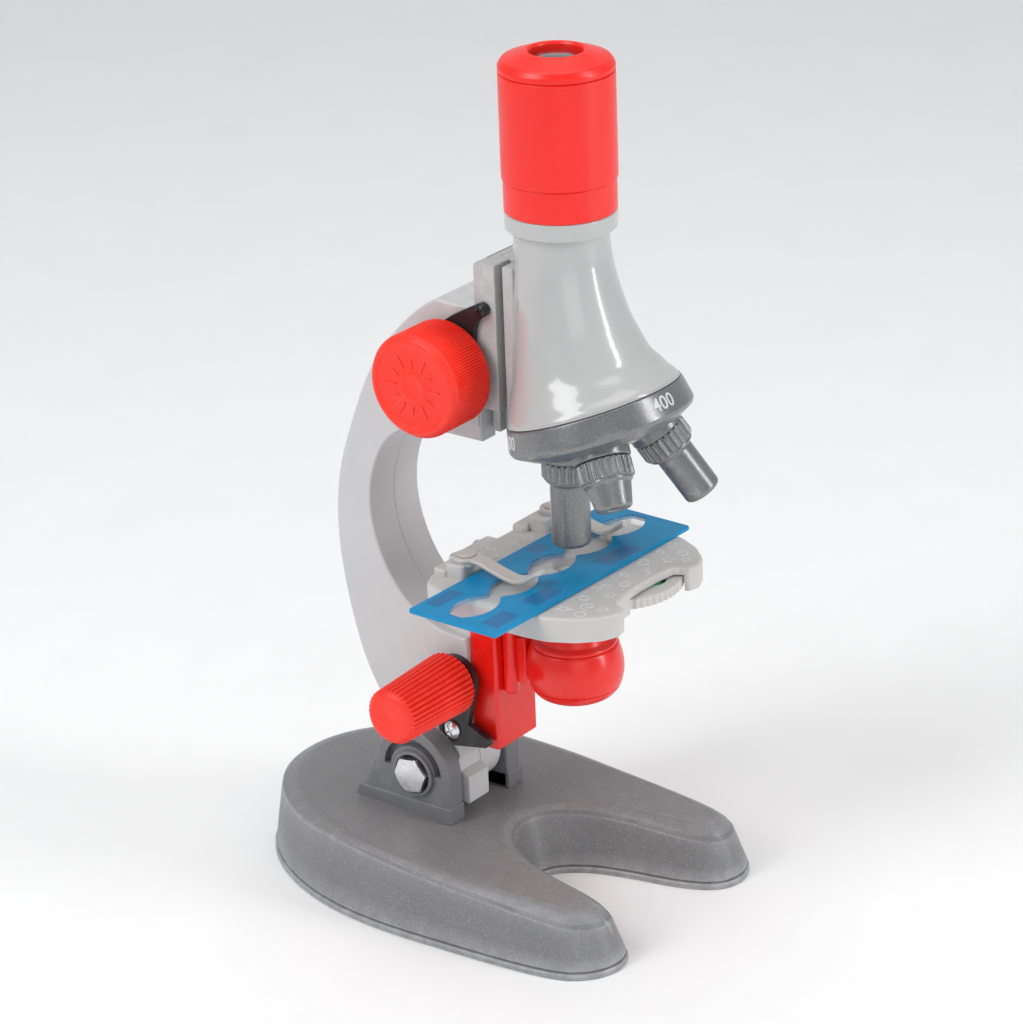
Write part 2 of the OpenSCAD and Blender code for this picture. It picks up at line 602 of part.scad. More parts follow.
// ---------------------------------------------------------------- specimen slide
slide_spot = [37.9, -5.2];
slide_turn = -1.5;
window_y = [-28, -13.5, 1, 15.5, 29];
window_along = 8.5;          // size of a window along the slide
window_across = 13.5;        // and across it

// lens shape between two arcs
module lens2d(width, height) {
  radius = (height * height / 4 + width * width / 4) / width;
  intersection() {
    translate([radius - width / 2, 0]) circle(radius, $fn = fn_big);
    translate([width / 2 - radius, 0]) circle(radius, $fn = fn_big);
  }
}
module window_prisms(bottom, height) for (y = window_y)
  translate([-1, y, bottom]) rotate([0, 0, 90])
    linear_extrude(height) lens2d(window_along, window_across);
module slide_at()
  translate([slide_spot[0], slide_spot[1], stage_z]) rotate([0, 0, slide_turn]) children();
module slide_frame() color([0.0, 0.46, 0.77]) slide_at() difference() {
  box([-slide_w / 2, -slide_l / 2, 0], [slide_w, slide_l, slide_t]);
  window_prisms(-1, 4);
}
module slide_windows() color([0.9, 0.95, 1, 0.3]) slide_at() window_prisms(0.1, slide_t - 0.2);

// ---------------------------------------------------------------- tube
// stations of the bell, top to bottom: [centre x, centre z, radius, tilt]
bell = [[40, 175.6, 11.3, 0], [40.05, 170, 11.5, 0.5], [40.5, 164.5, 12, 1.5],
  [41.2, 158.5, 12.9, 4], [42.3, 152, 14, 8], [43.4, 146.8, 15.4, 11], [44.6, 142, 16.8, 14],
  [45.8, 138.9, 18.4, 16.5], [46.7, 136.4, 19.7, 18], [47.45, 134.5, 20.9, 19.3],
  [47.9, 133.2, 21.3, 20]];
bell_last = len(bell) - 1;
hollow_top = 3;              // station where the bell's hollow ends
// ring of a station, reduced by the wall and dropped along its own axis
function bell_ring(station, wall = 0, drop = 0) =
  let (tilt = station[3], radius = station[2] - wall)
  [for (i = [0 : 47]) let (angle = -360 * i / 48)
    [station[0] + drop * sin(tilt) + radius * cos(angle) * cos(tilt), radius * sin(angle),
     station[1] - drop * cos(tilt) + radius * cos(angle) * sin(tilt)]];

// turret's own frame: +Z runs down its tilted axis from the centre of swing
module turret_frame()
  translate([optic_x, 0, swing_z]) rotate([0, 180 - turret_tilt, 0]) children();
// leans +Z from the turret's axis onto an objective's
module lean(turn) rotate([0, 0, turn]) rotate([0, turret_tilt, 0]) children();

module tube_barrel() color([0.76, 0.76, 0.76]) difference() {
  union() {
    skin([for (station = reversed(bell)) bell_ring(station)]);
    z_cylinder(optic, 13.3, 175.5, 4.4);
    // slide plate and rail behind the tube, cut clear of the turret
    difference() {
      union() {
        box([29, -9.5, 122.2], [3.4, 19, 43.8]);
        box([24.3, -3.9, 122.2], [5, 7.8, 43.8]);
        box([22.1, -5.9, 122.2], [2.25, 11.8, 43.8]);
      }
      turret_frame() translate([0, 0, 22.8]) cylinder(r1 = 22.1, r2 = 23.9, h = 9.6);
      turret_frame() translate([0, 0, 32.3]) cylinder(r = 23.9, h = 12);
    }
  }
  z_cylinder(optic, 10, 157, 30);
  skin([for (i = [bell_last : -1 : hollow_top])
    bell_ring(bell[i], i == hollow_top ? 3 : 2, i == bell_last ? 0.6 : 0)]);
}
module focus_rack() color([0.9, 0.9, 0.88]) xz_plate(-3.5, 3.5) rack2d(focus, 6, 2, 22.1);

// ---------------------------------------------------------------- turret
turret_pivot_r = 2;
module nosepiece_plate() color([0.15, 0.15, 0.16]) turret_frame() difference() {
  union() {
    translate([0, 0, 20.6]) cylinder(r = 17.2, h = 2.4);
    translate([0, 0, 21.9]) cylinder(r = 18.6, h = 1.2);
  }
  translate([0, 0, 19]) cylinder(r = turret_pivot_r, h = 6, $fn = fn_mid);
  // light path
  lean(0) translate([0, 0, 15]) cylinder(r = 4, h = 15, $fn = fn_mid);
}
module turret_pivot_screw() color("silver")
  turret_frame() translate([0, 0, 37]) mirror([0, 0, 1]) {
    translate([0, 0, 2.2]) cylinder(r = turret_pivot_r, h = 14.2, $fn = fn_mid);
    difference() {
      cylinder(r = 3.6, h = 2.21, $fn = fn_mid);
      box([-3, -0.4, -1], [6, 0.8, 1.8]);
    }
  }
module turret_spring_washer() color("silver")
  turret_frame() translate([0, 0, 23.15]) difference() {
    cylinder(r = 4.6, h = 1.7, $fn = fn_mid);
    translate([0, 0, -1]) cylinder(r = turret_pivot_r + gap, h = 6, $fn = fn_mid);
  }
// section of the turret's cup [radius, distance down the axis]
turret_profile = [[turret_pivot_r + gap, 24.95], [4.8, 24.95], [4.8, 32.4], [13, 31.6],
  [17.4, 30.4], [21, 28], [20, 23.3], [21.6, 23.3], [22.8, 28.8], [22.6, 29.8], [18.6, 32.2],
  [14, 33.5], [8, 34.4], [turret_pivot_r + gap, 34.6]];

// objectives: [turn round the turret, tip, barrel radius at the collar, at the tip]
long_objective = [0, long_tip, 4.8, 4.75];
medium_objective = [120, medium_tip, 4.75, 4.65];
short_objective = [240, short_tip, 5.3, 4.5];
objectives = [long_objective, medium_objective, short_objective];

module turret_shell() color([0.42, 0.42, 0.43]) turret_frame() difference() {
  union() {
    rotate_extrude($fn = fn_big) polygon(turret_profile);
    for (spec = objectives)
      lean(spec[0]) translate([0, 0, 33]) cylinder(r = 6.9, h = 4.6, $fn = fn_mid);
  }
  for (spec = objectives)
    lean(spec[0]) translate([0, 0, 28]) cylinder(r = 4.2, h = 12, $fn = fn_mid);
  translate([0, 0, 34.65]) cylinder(r = 4, h = 6, $fn = fn_mid);
}
// objective: thread, ribbed collar, tapered barrel and a through hole
module objective(spec) color([0.42, 0.42, 0.43]) {
  tip = spec[1];
  turret_frame() lean(spec[0]) difference() {
    union() {
      rotate_extrude($fn = 64) polygon([[0, 33], [4.15, 33], [4.15, 38], [6, 38], [6, 43.1],
        [spec[2], 43.9], [spec[3], tip - 0.75], [spec[3] - 0.6, tip], [0, tip]]);
      translate([0, 0, 37.65]) linear_extrude(5)
        polygon([for (i = [0 : 95]) let (radius = i % 4 < 2 ? 6.7 : 6.2)
          radius * [cos(3.75 * i), sin(3.75 * i)]]);
    }
    translate([0, 0, 30]) cylinder(r = 2.6, h = tip - 32, $fn = fn_mid);
    translate([0, 0, tip - 3]) cylinder(r = 1.6, h = 5, $fn = fn_mid);
  }
}
module objective_long() objective(long_objective);
module objective_medium() objective(medium_objective);
module objective_short() objective(short_objective);
module objective_lenses() color([0.8, 0.9, 1, 0.4]) for (spec = objectives)
  turret_frame() lean(spec[0]) translate([0, 0, spec[1] - 3.6])
    cylinder(r = 2.58, h = 1.5, $fn = fn_mid);

// ---------------------------------------------------------------- eyepiece
collar_z = 187.75;           // underside of the drawtube's collar and of the sleeve
cap_z = 213.5;               // underside of the cap's rim
// section of the cap [radius, z]
cap_profile = concat([[6.3, 209.5], [12, 209.5], [12, cap_z], [sleeve_r, cap_z],
    [sleeve_r, 214.6]],
  [for (t = [15 : 15 : 75]) [sleeve_r - 1.8 + 1.8 * cos(t), 214.6 + 1.7 * sin(t)]],
  [[11.2, 216.6], [8.2, top_z - 0.5], [7.2, top_z], [6.6, top_z - 0.2], [6.3, top_z - 0.8]]);

module eyepiece_drawtube() color([0.12, 0.12, 0.12]) difference() {
  union() {
    z_cylinder(optic, 9.95, 162, 33);
    z_cylinder(optic, 12, collar_z, 2);
  }
  z_cylinder(optic, 8.6, 160, 40);
}
module eyepiece_skirt() color([0.92, 0.2, 0.14]) difference() {
  z_cylinder(optic, 13.3, 179.95, 7.75);
  z_cylinder(optic, 10, 178.95, 12);
}
module eyepiece_sleeve() color([0.95, 0.22, 0.15]) difference() {
  z_cylinder(optic, sleeve_r, collar_z, 25.7);
  z_cylinder(optic, 12.05, 187, 40);
}
module eyepiece_cap() color([0.95, 0.22, 0.15]) difference() {
  translate(optic) rotate_extrude($fn = fn_big) polygon(cap_profile);
  z_cylinder(optic, 9.6, 208, 4.5);
}
module eye_lens() color([0.7, 0.8, 0.9, 0.5]) z_cylinder(optic, 9.5, 210.2, 2.25);
module field_lens() color([0.7, 0.8, 0.9, 0.5]) z_cylinder(optic, 8.55, 191.5, 2.4);

// ---------------------------------------------------------------- knobs
focus_shaft_end = 24;
carriage_shaft_end = 30;

module focus_shaft() color("silver")
  y_cylinder(focus, focus_shaft_r, -focus_shaft_end, focus_shaft_end);
module focus_pinion() color([0.85, 0.7, 0.3]) pinion(focus, focus_shaft_r);
module focus_knobs() color([0.95, 0.25, 0.17]) for (side = sides) difference() {
  union() {
    at_xz(focus) xz_plate(side * 12.3, side * 25.2) grooved_disc(knurls, knob_r, knob_r - 0.35);
    outward(focus, side, 25.1) cylinder(r1 = knob_r - 0.4, r2 = knob_r - 1.5, h = 1.2);
  }
  // hollow round the hub
  difference() {
    y_cylinder(focus, knob_r - 2, side * 12, side * 23.4);
    y_cylinder(focus, 4.6, side * 12.2, side * 24);
  }
  y_cylinder(focus, focus_shaft_r, side * 10, side * focus_shaft_end);
}
module carriage_shaft() color("silver")
  y_cylinder(carriage, carriage_shaft_r, -carriage_shaft_end, carriage_shaft_end);
module carriage_pinion() color([0.85, 0.7, 0.3]) pinion(carriage, carriage_shaft_r);
module carriage_knobs() color([0.95, 0.2, 0.15]) for (side = sides) difference() {
  union() {
    outward(carriage, side, 13)
      linear_extrude(height = 22.9, scale = 7.1 / 8) grooved_disc(grooves, 8, 7.45);
    outward(carriage, side, 35.8) cylinder(r1 = 6.8, r2 = 5.7, h = 1.1);
    outward(carriage, side, 12) cylinder(r = 6.4, h = 1.2);
  }
  y_cylinder(carriage, carriage_shaft_r, side * 10, side * carriage_shaft_end);
}

// ---------------------------------------------------------------- lamp carriage
module carriage_block() color([0.9, 0.16, 0.12]) {
  difference() {
    union() {
      box([14.1, -7.9, 38], [7.6, 15.8, 36]);
      // arm that holds the lamp, with a round rib each side
      box([21.6, -4.2, 56], [6.45, 8.4, 12]);
      for (y = [-4.2, 4.2]) z_cylinder([23.6, y], 1.9, 53, 17.5, $fn = fn_small);
    }
    box([12, -6.1, 37], [7.9, 12.2, 38]);
    x_cylinder(lamp_axis, pin_r, 21.8, 30, $fn = fn_mid);
  }
  // rack, trimmed level with the block's top
  difference() {
    xz_plate(-2.9, 2.9) rack2d(carriage, 4, 7, 20);
    box([10, -5, 73.9], [20, 10, 10]);
  }
}
module lamp_pivot() color("silver") {
  x_cylinder(lamp_axis, pin_r, 21.8, 31.2, $fn = fn_mid);
  x_cylinder(lamp_axis, 2.6, 31.15, 32, $fn = fn_mid);
}
// sections of the lamp bowl and its lid [radius, z]
bowl_profile = concat([[6.6, 55.4], [8, 55.4]],
  spline([[8, 55.4], [9.6, 56.3], [10.9, 58], [11.7, 60.6], [11.9, 63.2], [11.5, 66],
    [10.6, 69]], 3),
  [[8.9, 69], [9.9, 66], [10.3, 63.2], [10.1, 60.6], [9.3, 58.6], [8.6, 57.4], [6.6, 57.4]]);
lid_profile = [[3.2, 66.6], [8.85, 66.6], [8.85, 69.05], [10.4, 69.05], [10.2, 69.9],
  [8.6, 70.4], [7.2, 74], [6.8, 74.6], [5.6, 74.8], [5.2, 74.2], [5.2, 69], [3.2, 68.2]];

module lamp_bowl() color([0.95, 0.2, 0.15]) difference() {
  union() {
    translate(optic) rotate_extrude($fn = fn_big) polygon(bowl_profile);
    x_cylinder(lamp_axis, 3.2, 28.15, 31.1, $fn = fn_mid);
  }
  x_cylinder(lamp_axis, pin_r + gap, 20, 36, $fn = fn_mid);
}
module lamp_lid() color([0.9, 0.16, 0.12])
  translate(optic) rotate_extrude($fn = fn_big) polygon(lid_profile);
module lamp_led() color([1, 1, 0.85]) {
  z_cylinder(optic, 4.4, 65.4, 1.2, $fn = fn_mid);
  z_cylinder(optic, 2.5, 66.5, 3.1, $fn = fn_mid);
  translate([optic_x, 0, 69.6]) sphere(r = 2.5, $fn = fn_mid);
}
module lamp_mirror() color([0.85, 0.88, 0.9]) z_cylinder(optic, 8.4, 57.45, 1.2);

// ---------------------------------------------------------------- assembly
base_shell();
base_plate();
base_screws();
battery_door();
battery_door_screw();
battery_cells();
battery_contacts();
hinge_bolt();
hinge_nut();
hinge_washers();
arm_near();
arm_far();
arm_screws();
focus_guide();
focus_retainers();
carriage_retainers();
retainer_screws();
lamp_cable();
stage_plate();
stage_screws();
clip_pins();
filter_pivot();
tube_barrel();
focus_rack();
nosepiece_plate();
turret_pivot_screw();
turret_spring_washer();
eyepiece_drawtube();
eyepiece_skirt();
eyepiece_sleeve();
eyepiece_cap();
eye_lens();
field_lens();
turret_shell();
objective_long();
objective_medium();
objective_short();
objective_lenses();
focus_shaft();
focus_pinion();
focus_knobs();
carriage_shaft();
carriage_pinion();
carriage_knobs();
carriage_block();
lamp_pivot();
lamp_bowl();
lamp_lid();
lamp_led();
lamp_mirror();
filter_wheel();
filter_red();
filter_green();
filter_blue();
filter_yellow();
clip_near();
clip_far();
slide_frame();
slide_windows();
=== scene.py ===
"""A toy microscope with a battery base, a tilting arm, a stage, a turret and a lamp.

It stands on z = 0. The stage and the turret are on the +X side of the arm. "near" pieces are on
the -Y side and "far" pieces on the +Y side. The optical axis is vertical at x = 40, y = 0.
Sizes are in millimetres; build() turns them into metres.
"""
import math
import random

import bmesh
import bpy
import numpy as np
from mathutils import Matrix, Vector


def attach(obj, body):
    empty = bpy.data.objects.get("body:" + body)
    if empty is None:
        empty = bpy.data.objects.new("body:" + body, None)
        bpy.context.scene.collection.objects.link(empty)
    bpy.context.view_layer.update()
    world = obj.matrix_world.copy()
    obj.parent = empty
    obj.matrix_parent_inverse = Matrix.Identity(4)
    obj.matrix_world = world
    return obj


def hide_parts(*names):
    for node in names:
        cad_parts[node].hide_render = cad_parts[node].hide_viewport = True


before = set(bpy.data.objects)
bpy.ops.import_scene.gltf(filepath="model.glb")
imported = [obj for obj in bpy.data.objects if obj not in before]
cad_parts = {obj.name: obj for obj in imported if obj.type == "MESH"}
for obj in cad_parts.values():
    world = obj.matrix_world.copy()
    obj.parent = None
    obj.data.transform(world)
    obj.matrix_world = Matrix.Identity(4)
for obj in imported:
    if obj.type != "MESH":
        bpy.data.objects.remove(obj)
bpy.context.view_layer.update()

MM = 0.001
scene = bpy.context.scene

SIDES = ((-1, "near"), (1, "far"))
# Centres of the cross shafts, (x, z)
HINGE = (0, 29.0)
FOCUS = (14.4, 138.2)
CARRIAGE = (11.3, 56.0)
OPTIC_X = 40
STAGE_TOP = 89.1
CLIP_X, CLIP_Y = 21.6, 17.4        # clip pivots, at +y and -y
WHEEL = (47.5, 6.6)                # filter wheel centre, (x, y)

# ===================================================================== materials
materials = {}


class Shader:
    """Node tree of one material; self.co is the object position in millimetres."""

    def __init__(self, name):
        material = bpy.data.materials.new("m_" + name)
        material.use_nodes = True
        self.tree = material.node_tree
        self.tree.nodes.clear()
        output = self.node("OutputMaterial")
        self.bsdf = self.node("BsdfPrincipled")
        self.feed(output.inputs[0], self.bsdf.outputs[0])
        position = self.node("TexCoord").outputs["Object"]
        self.co = self.mapping(position, scale=(1000,) * 3)
        materials[name] = material

    def node(self, kind, **settings):
        node = self.tree.nodes.new("ShaderNode" + kind)
        for key, value in settings.items():
            setattr(node, key, value)
        return node

    def feed(self, socket, value):
        """Link an output, or set a number or an RGB colour."""
        if isinstance(value, bpy.types.NodeSocket):
            self.tree.links.new(value, socket)
        else:
            socket.default_value = value + (1,) if isinstance(value, tuple) else value

    def principled(self, values):
        for key, value in values.items():
            self.bsdf.inputs[key].default_value = value

    def mapping(self, vector, scale, rotation=(0, 0, 0)):
        node = self.node("Mapping")
        node.inputs["Scale"].default_value = scale
        node.inputs["Rotation"].default_value = rotation
        self.feed(node.inputs[0], vector)
        return node.outputs[0]

    def math(self, operation, a, b, clamp=False):
        node = self.node("Math", operation=operation, use_clamp=clamp)
        self.feed(node.inputs[0], a)
        self.feed(node.inputs[1], b)
        return node.outputs[0]

    def mix(self, factor, a, b):
        node = self.node("Mix", data_type="RGBA", blend_type="MIX")
        for index, value in ((0, factor), (6, a), (7, b)):
            self.feed(node.inputs[index], value)
        return node.outputs[2]

    def noise(self, scale, detail=3, rough=0.5, distortion=0.0, at=None):
        node = self.node("TexNoise")
        node.inputs["Scale"].default_value = scale
        node.inputs["Detail"].default_value = detail
        node.inputs["Roughness"].default_value = rough
        node.inputs["Distortion"].default_value = distortion
        self.feed(node.inputs["Vector"], at or self.co)
        return node.outputs[0]

    def ramp(self, value, span, to=(0.0, 1.0)):
        node = self.node("MapRange", clamp=True)
        for index, number in enumerate((*span, *to), 1):
            node.inputs[index].default_value = number
        self.feed(node.inputs[0], value)
        return node.outputs[0]

    def pointiness(self):
        return self.node("NewGeometry").outputs["Pointiness"]

    def bump(self, height, strength, distance=0.00005):
        node = self.node("Bump")
        node.inputs["Strength"].default_value = strength
        node.inputs["Distance"].default_value = distance
        self.feed(node.inputs["Height"], height)
        self.feed(self.bsdf.inputs["Normal"], node.outputs[0])


def linear(colour):
    """8-bit sRGB colour as linear values."""
    values = (c / 255 for c in colour)
    return tuple(v / 12.92 if v <= 0.04045 else ((v + 0.055) / 1.055) ** 2.4 for v in values)


def scaled(rgb, factor):
    return tuple(c * factor for c in rgb)


def plastic(name, colour, rough=0.35, drift=0.05, grain=0.15, grain_mm=0.5,
            speck=None, speck_mm=0.5, speck_amount=0.0, coat=0.0, coat_rough=0.15,
            wear_and_highlight=0.25, worn_and_highlight=None, edge=(0.515, 0.60), patchy=True,
            metallic=0.0, sss=0.0, sss_mm=2.0, spec=0.5, orange_peel=0.0):
    """Moulded plastic with colour drift, specks, fine grain, faint scratches, and edges lightened
    by rubbing, which on the base is a painted highlight along its crests.
    """
    rgb = linear(colour)
    s = Shader(name)
    slow = s.noise(scale=0.035, detail=3, rough=0.55, distortion=0.3)
    light = tuple(min(1, c * (1 + drift)) for c in rgb)
    tint = s.mix(s.ramp(slow, span=(0.3, 0.7)), scaled(rgb, 1 - drift), light)
    fine = s.noise(scale=1 / grain_mm, detail=4, rough=0.6)
    if speck is not None:
        # (noise scale, threshold span, strength, colour)
        for scale, span, amount, fleck in (
                (1, (0.56, 0.72), speck_amount, linear(speck)),
                (1.7, (0.60, 0.75), speck_amount * 0.5, scaled(rgb, 0.55))):
            spots = s.ramp(s.noise(scale=scale / speck_mm, detail=2, rough=0.7), span=span)
            tint = s.mix(s.math("MULTIPLY", spots, amount), tint, fleck)
    # edges lighter and smoother: rubbing, and on the base a painted highlight along the crests
    edges = s.ramp(s.pointiness(), span=edge)
    patches = s.ramp(s.noise(scale=0.35, detail=4, rough=0.65), span=(0.42, 0.62),
                     to=(0.0 if patchy else 0.55, 1.0))
    rubbed_and_highlight = s.math("MULTIPLY", s.math("MULTIPLY", edges, patches), wear_and_highlight, clamp=True)
    worn_and_highlight_rgb = linear(worn_and_highlight) if worn_and_highlight else tuple(min(1, c * 1.25 + 0.03) for c in rgb)
    s.feed(s.bsdf.inputs["Base Color"], s.mix(rubbed_and_highlight, tint, worn_and_highlight_rgb))
    # roughness: blotches and stretched scratches
    stretched = s.mapping(s.co, scale=(0.12, 1.6, 0.35), rotation=(0.4, 0.9, 0.3))
    scratch = s.ramp(s.noise(scale=2.2, detail=5, rough=0.75, distortion=1.2, at=stretched),
                     span=(0.60, 0.68))
    gloss = s.ramp(s.noise(scale=0.11, detail=4, rough=0.6), span=(0.3, 0.7),
                   to=(rough * 0.88, rough * 1.14))
    gloss = s.math("ADD", gloss, s.math("MULTIPLY", scratch, 0.06))
    gloss = s.math("SUBTRACT", gloss, s.math("MULTIPLY", rubbed_and_highlight, 0.08), clamp=True)
    s.feed(s.bsdf.inputs["Roughness"], gloss)
    height = s.math("ADD", fine, s.math("MULTIPLY", scratch, -0.25))
    if orange_peel:
        waviness = s.noise(scale=0.35, detail=2, rough=0.4)
        height = s.math("ADD", height, s.math("MULTIPLY", waviness, orange_peel))
    s.bump(height, strength=grain, distance=0.00006)
    s.principled({"Metallic": metallic, "Specular IOR Level": spec,
                  "Coat Weight": coat, "Coat Roughness": coat_rough})
    if sss:
        reddish = rgb[0] > rgb[1] * 2
        s.principled({"Subsurface Weight": sss, "Subsurface Scale": sss_mm * MM,
                      "Subsurface Radius": (1.0, 0.45, 0.35) if reddish else (1, 0.95, 0.9)})


def metal(name, rgb, rough=0.28, brushed=0.5, crevice_shade=0.2):
    """Brushed metal, rougher in its crevices, with painted shade darkening them."""
    s = Shader(name)
    brush = s.noise(scale=1.5, detail=5, rough=0.7, at=s.mapping(s.co, scale=(0.3, 6, 0.3)))
    blotches = s.ramp(s.noise(scale=0.5, detail=4, rough=0.6), span=(0.35, 0.7))
    tint = s.mix(blotches, scaled(rgb, 0.86), rgb)
    crevices = s.ramp(s.pointiness(), span=(0.42, 0.49), to=(1.0, 0.0))
    # painted shade: the crevices are darkened towards 35 % of the colour
    tint = s.mix(s.math("MULTIPLY", crevices, crevice_shade), tint, scaled(rgb, 0.35))
    s.feed(s.bsdf.inputs["Base Color"], tint)
    s.principled({"Metallic": 1.0})
    gloss = s.ramp(brush, span=(0.3, 0.7), to=(rough * 0.8, rough * 1.3))
    gloss = s.math("ADD", gloss, s.math("MULTIPLY", crevices, 0.2), clamp=True)
    s.feed(s.bsdf.inputs["Roughness"], gloss)
    s.bump(brush, strength=0.12 * brushed)


def clear(name, rgb, rough, alpha, ior, transmission):
    """Clear plastic or glass with faint smears."""
    s = Shader(name)
    slow = s.noise(scale=0.2, detail=3)
    smear = s.noise(scale=0.6, detail=5, rough=0.7, distortion=0.8)
    tint = s.mix(s.ramp(slow, span=(0.3, 0.7)), scaled(rgb, 0.95), rgb)
    s.feed(s.bsdf.inputs["Base Color"], tint)
    s.feed(s.bsdf.inputs["Roughness"],
           s.ramp(smear, span=(0.45, 0.75), to=(rough, rough + 0.12)))
    s.principled({"Transmission Weight": transmission, "IOR": ior, "Alpha": alpha})
    s.bump(smear, strength=0.03)


# painted highlight: the narrow edge span and strong lightening paint a bright line along the
# base's crests
plastic("base_grey", (120, 120, 121), rough=0.40, grain=0.60, grain_mm=0.30,
        speck=(186, 186, 188), speck_mm=0.34, speck_amount=0.62, wear_and_highlight=0.75,
        worn_and_highlight=(186, 186, 187), spec=0.55, edge=(0.504, 0.545), patchy=False)
plastic("ear_grey", (118, 119, 121), rough=0.36, drift=0.04, grain=0.30, grain_mm=0.35,
        speck=(140, 140, 142), speck_mm=0.30, speck_amount=0.30, wear_and_highlight=0.45,
        worn_and_highlight=(145, 146, 148))
plastic("arm_grey", (200, 200, 201), rough=0.40, drift=0.025, grain=0.12, wear_and_highlight=0.3,
        worn_and_highlight=(228, 228, 228), sss=0.05, orange_peel=0.6)
plastic("tube_grey", (186, 186, 186), rough=0.24, drift=0.02, grain=0.04, grain_mm=0.6,
        coat=0.7, coat_rough=0.07, wear_and_highlight=0.2, worn_and_highlight=(220, 220, 220), sss=0.05, orange_peel=0.5)
plastic("guide_grey", (182, 182, 182), rough=0.38, drift=0.03, grain=0.10, wear_and_highlight=0.3,
        worn_and_highlight=(218, 218, 218))
plastic("stage_grey", (200, 198, 196), rough=0.42, drift=0.03, wear_and_highlight=0.3,
        worn_and_highlight=(224, 223, 222), sss=0.05, orange_peel=0.4)
plastic("clip_grey", (196, 193, 188), rough=0.30, drift=0.03, grain=0.08, grain_mm=0.6,
        coat=0.2, wear_and_highlight=0.3, worn_and_highlight=(225, 223, 220))
plastic("print_white", (224, 226, 228), rough=0.5, drift=0.03, grain=0.1, grain_mm=0.4,
        wear_and_highlight=0.0)
plastic("turret_grey", (128, 128, 129), rough=0.28, drift=0.04, grain=0.18, grain_mm=0.35,
        speck=(205, 205, 207), speck_mm=0.34, speck_amount=0.50, coat=0.15, coat_rough=0.2,
        wear_and_highlight=0.5, worn_and_highlight=(176, 176, 178), metallic=0.5)
plastic("numeral_white", (214, 214, 214), rough=0.5, drift=0.03, grain=0.2, grain_mm=0.3,
        wear_and_highlight=0.0)
plastic("red", (246, 30, 16), rough=0.36, drift=0.03, grain=0.06, coat=0.12, coat_rough=0.25,
        worn_and_highlight=(255, 96, 72), sss=0.10, sss_mm=1.5, orange_peel=0.5)
plastic("red_knob", (250, 46, 26), rough=0.45, drift=0.03, grain=0.16, grain_mm=0.45,
        wear_and_highlight=0.3, worn_and_highlight=(255, 118, 92), sss=0.10, sss_mm=1.5)
plastic("red_deep", (240, 26, 16), rough=0.30, drift=0.03, grain=0.06, coat=0.25,
        worn_and_highlight=(255, 90, 70), sss=0.12, sss_mm=1.5, orange_peel=0.4)
plastic("black", (30, 30, 31), rough=0.38, drift=0.08, grain=0.12, grain_mm=0.4, wear_and_highlight=0.4,
        worn_and_highlight=(74, 74, 76))
plastic("dark_inner", (22, 22, 23), rough=0.6, drift=0.08, grain=0.2, grain_mm=0.4, wear_and_highlight=0.1)
plastic("gear_white", (228, 225, 214), rough=0.42, drift=0.03, grain=0.10, wear_and_highlight=0.2, sss=0.15)
metal("steel", (0.86, 0.86, 0.87), rough=0.26)
metal("contact", (0.83, 0.70, 0.42), rough=0.28)
plastic("cable", (26, 26, 27), rough=0.55, drift=0.1, grain=0.3, grain_mm=0.3)
plastic("fibre", (40, 38, 36), rough=0.85, drift=0.15, grain=0.7, grain_mm=0.25, wear_and_highlight=0.1)
plastic("cell", (44, 110, 76), rough=0.3, drift=0.04, grain=0.05, coat=0.4)
plastic("slide_blue", (0, 136, 188), rough=0.42, grain=0.05, grain_mm=0.6, coat=0.06,
        coat_rough=0.3, wear_and_highlight=0.3, worn_and_highlight=(30, 160, 210), spec=0.3, orange_peel=0.3)
plastic("slide_print", (0, 108, 164), rough=0.42, grain=0.05, grain_mm=0.6, coat=0.2,
        coat_rough=0.2, wear_and_highlight=0.0)
clear("lens", (0.72, 0.80, 0.84), rough=0.03, alpha=0.55, ior=1.52, transmission=0.9)
plastic("eye_glass", (58, 60, 64), rough=0.06, grain=0.01, grain_mm=0.6, coat=1.0,
        coat_rough=0.03, wear_and_highlight=0.0, spec=0.8)
clear("clear", (0.90, 0.93, 0.95), rough=0.08, alpha=0.28, ior=1.45, transmission=0.9)
clear("led", (0.95, 0.95, 0.90), rough=0.08, alpha=0.7, ior=1.5, transmission=0.6)
metal("mirror", (0.90, 0.92, 0.93), rough=0.04, brushed=0.0, crevice_shade=0.0)
for film, film_rgb in (("red", (0.80, 0.03, 0.02)), ("green", (0.02, 0.5, 0.10)),
                       ("blue", (0.02, 0.12, 0.75)), ("yellow", (0.90, 0.70, 0.03))):
    clear("film_" + film, film_rgb, rough=0.1, alpha=0.75, ior=1.45, transmission=0.6)
plastic("floor", (248, 248, 248), rough=0.75, drift=0.01, grain=0.03, grain_mm=2.0, wear_and_highlight=0.0)


# ===================================================================== 2-D outlines
def rect(x0, y0, x1, y1):
    return [(x0, y0), (x1, y0), (x1, y1), (x0, y1)]


def polar(centre, radius, degrees):
    angle = math.radians(degrees)
    return (centre[0] + radius * math.cos(angle), centre[1] + radius * math.sin(angle))


def arc(centre, radius, count, start=0, end=360):
    angles = np.linspace(start, end, count, endpoint=(end - start != 360))
    return [polar(centre, radius, a) for a in angles]


def mirrored(half):
    """Close a half outline that starts and ends on y = 0; further columns are kept."""
    return half + [(p[0], -p[1], *p[2:]) for p in half[-2:0:-1]]


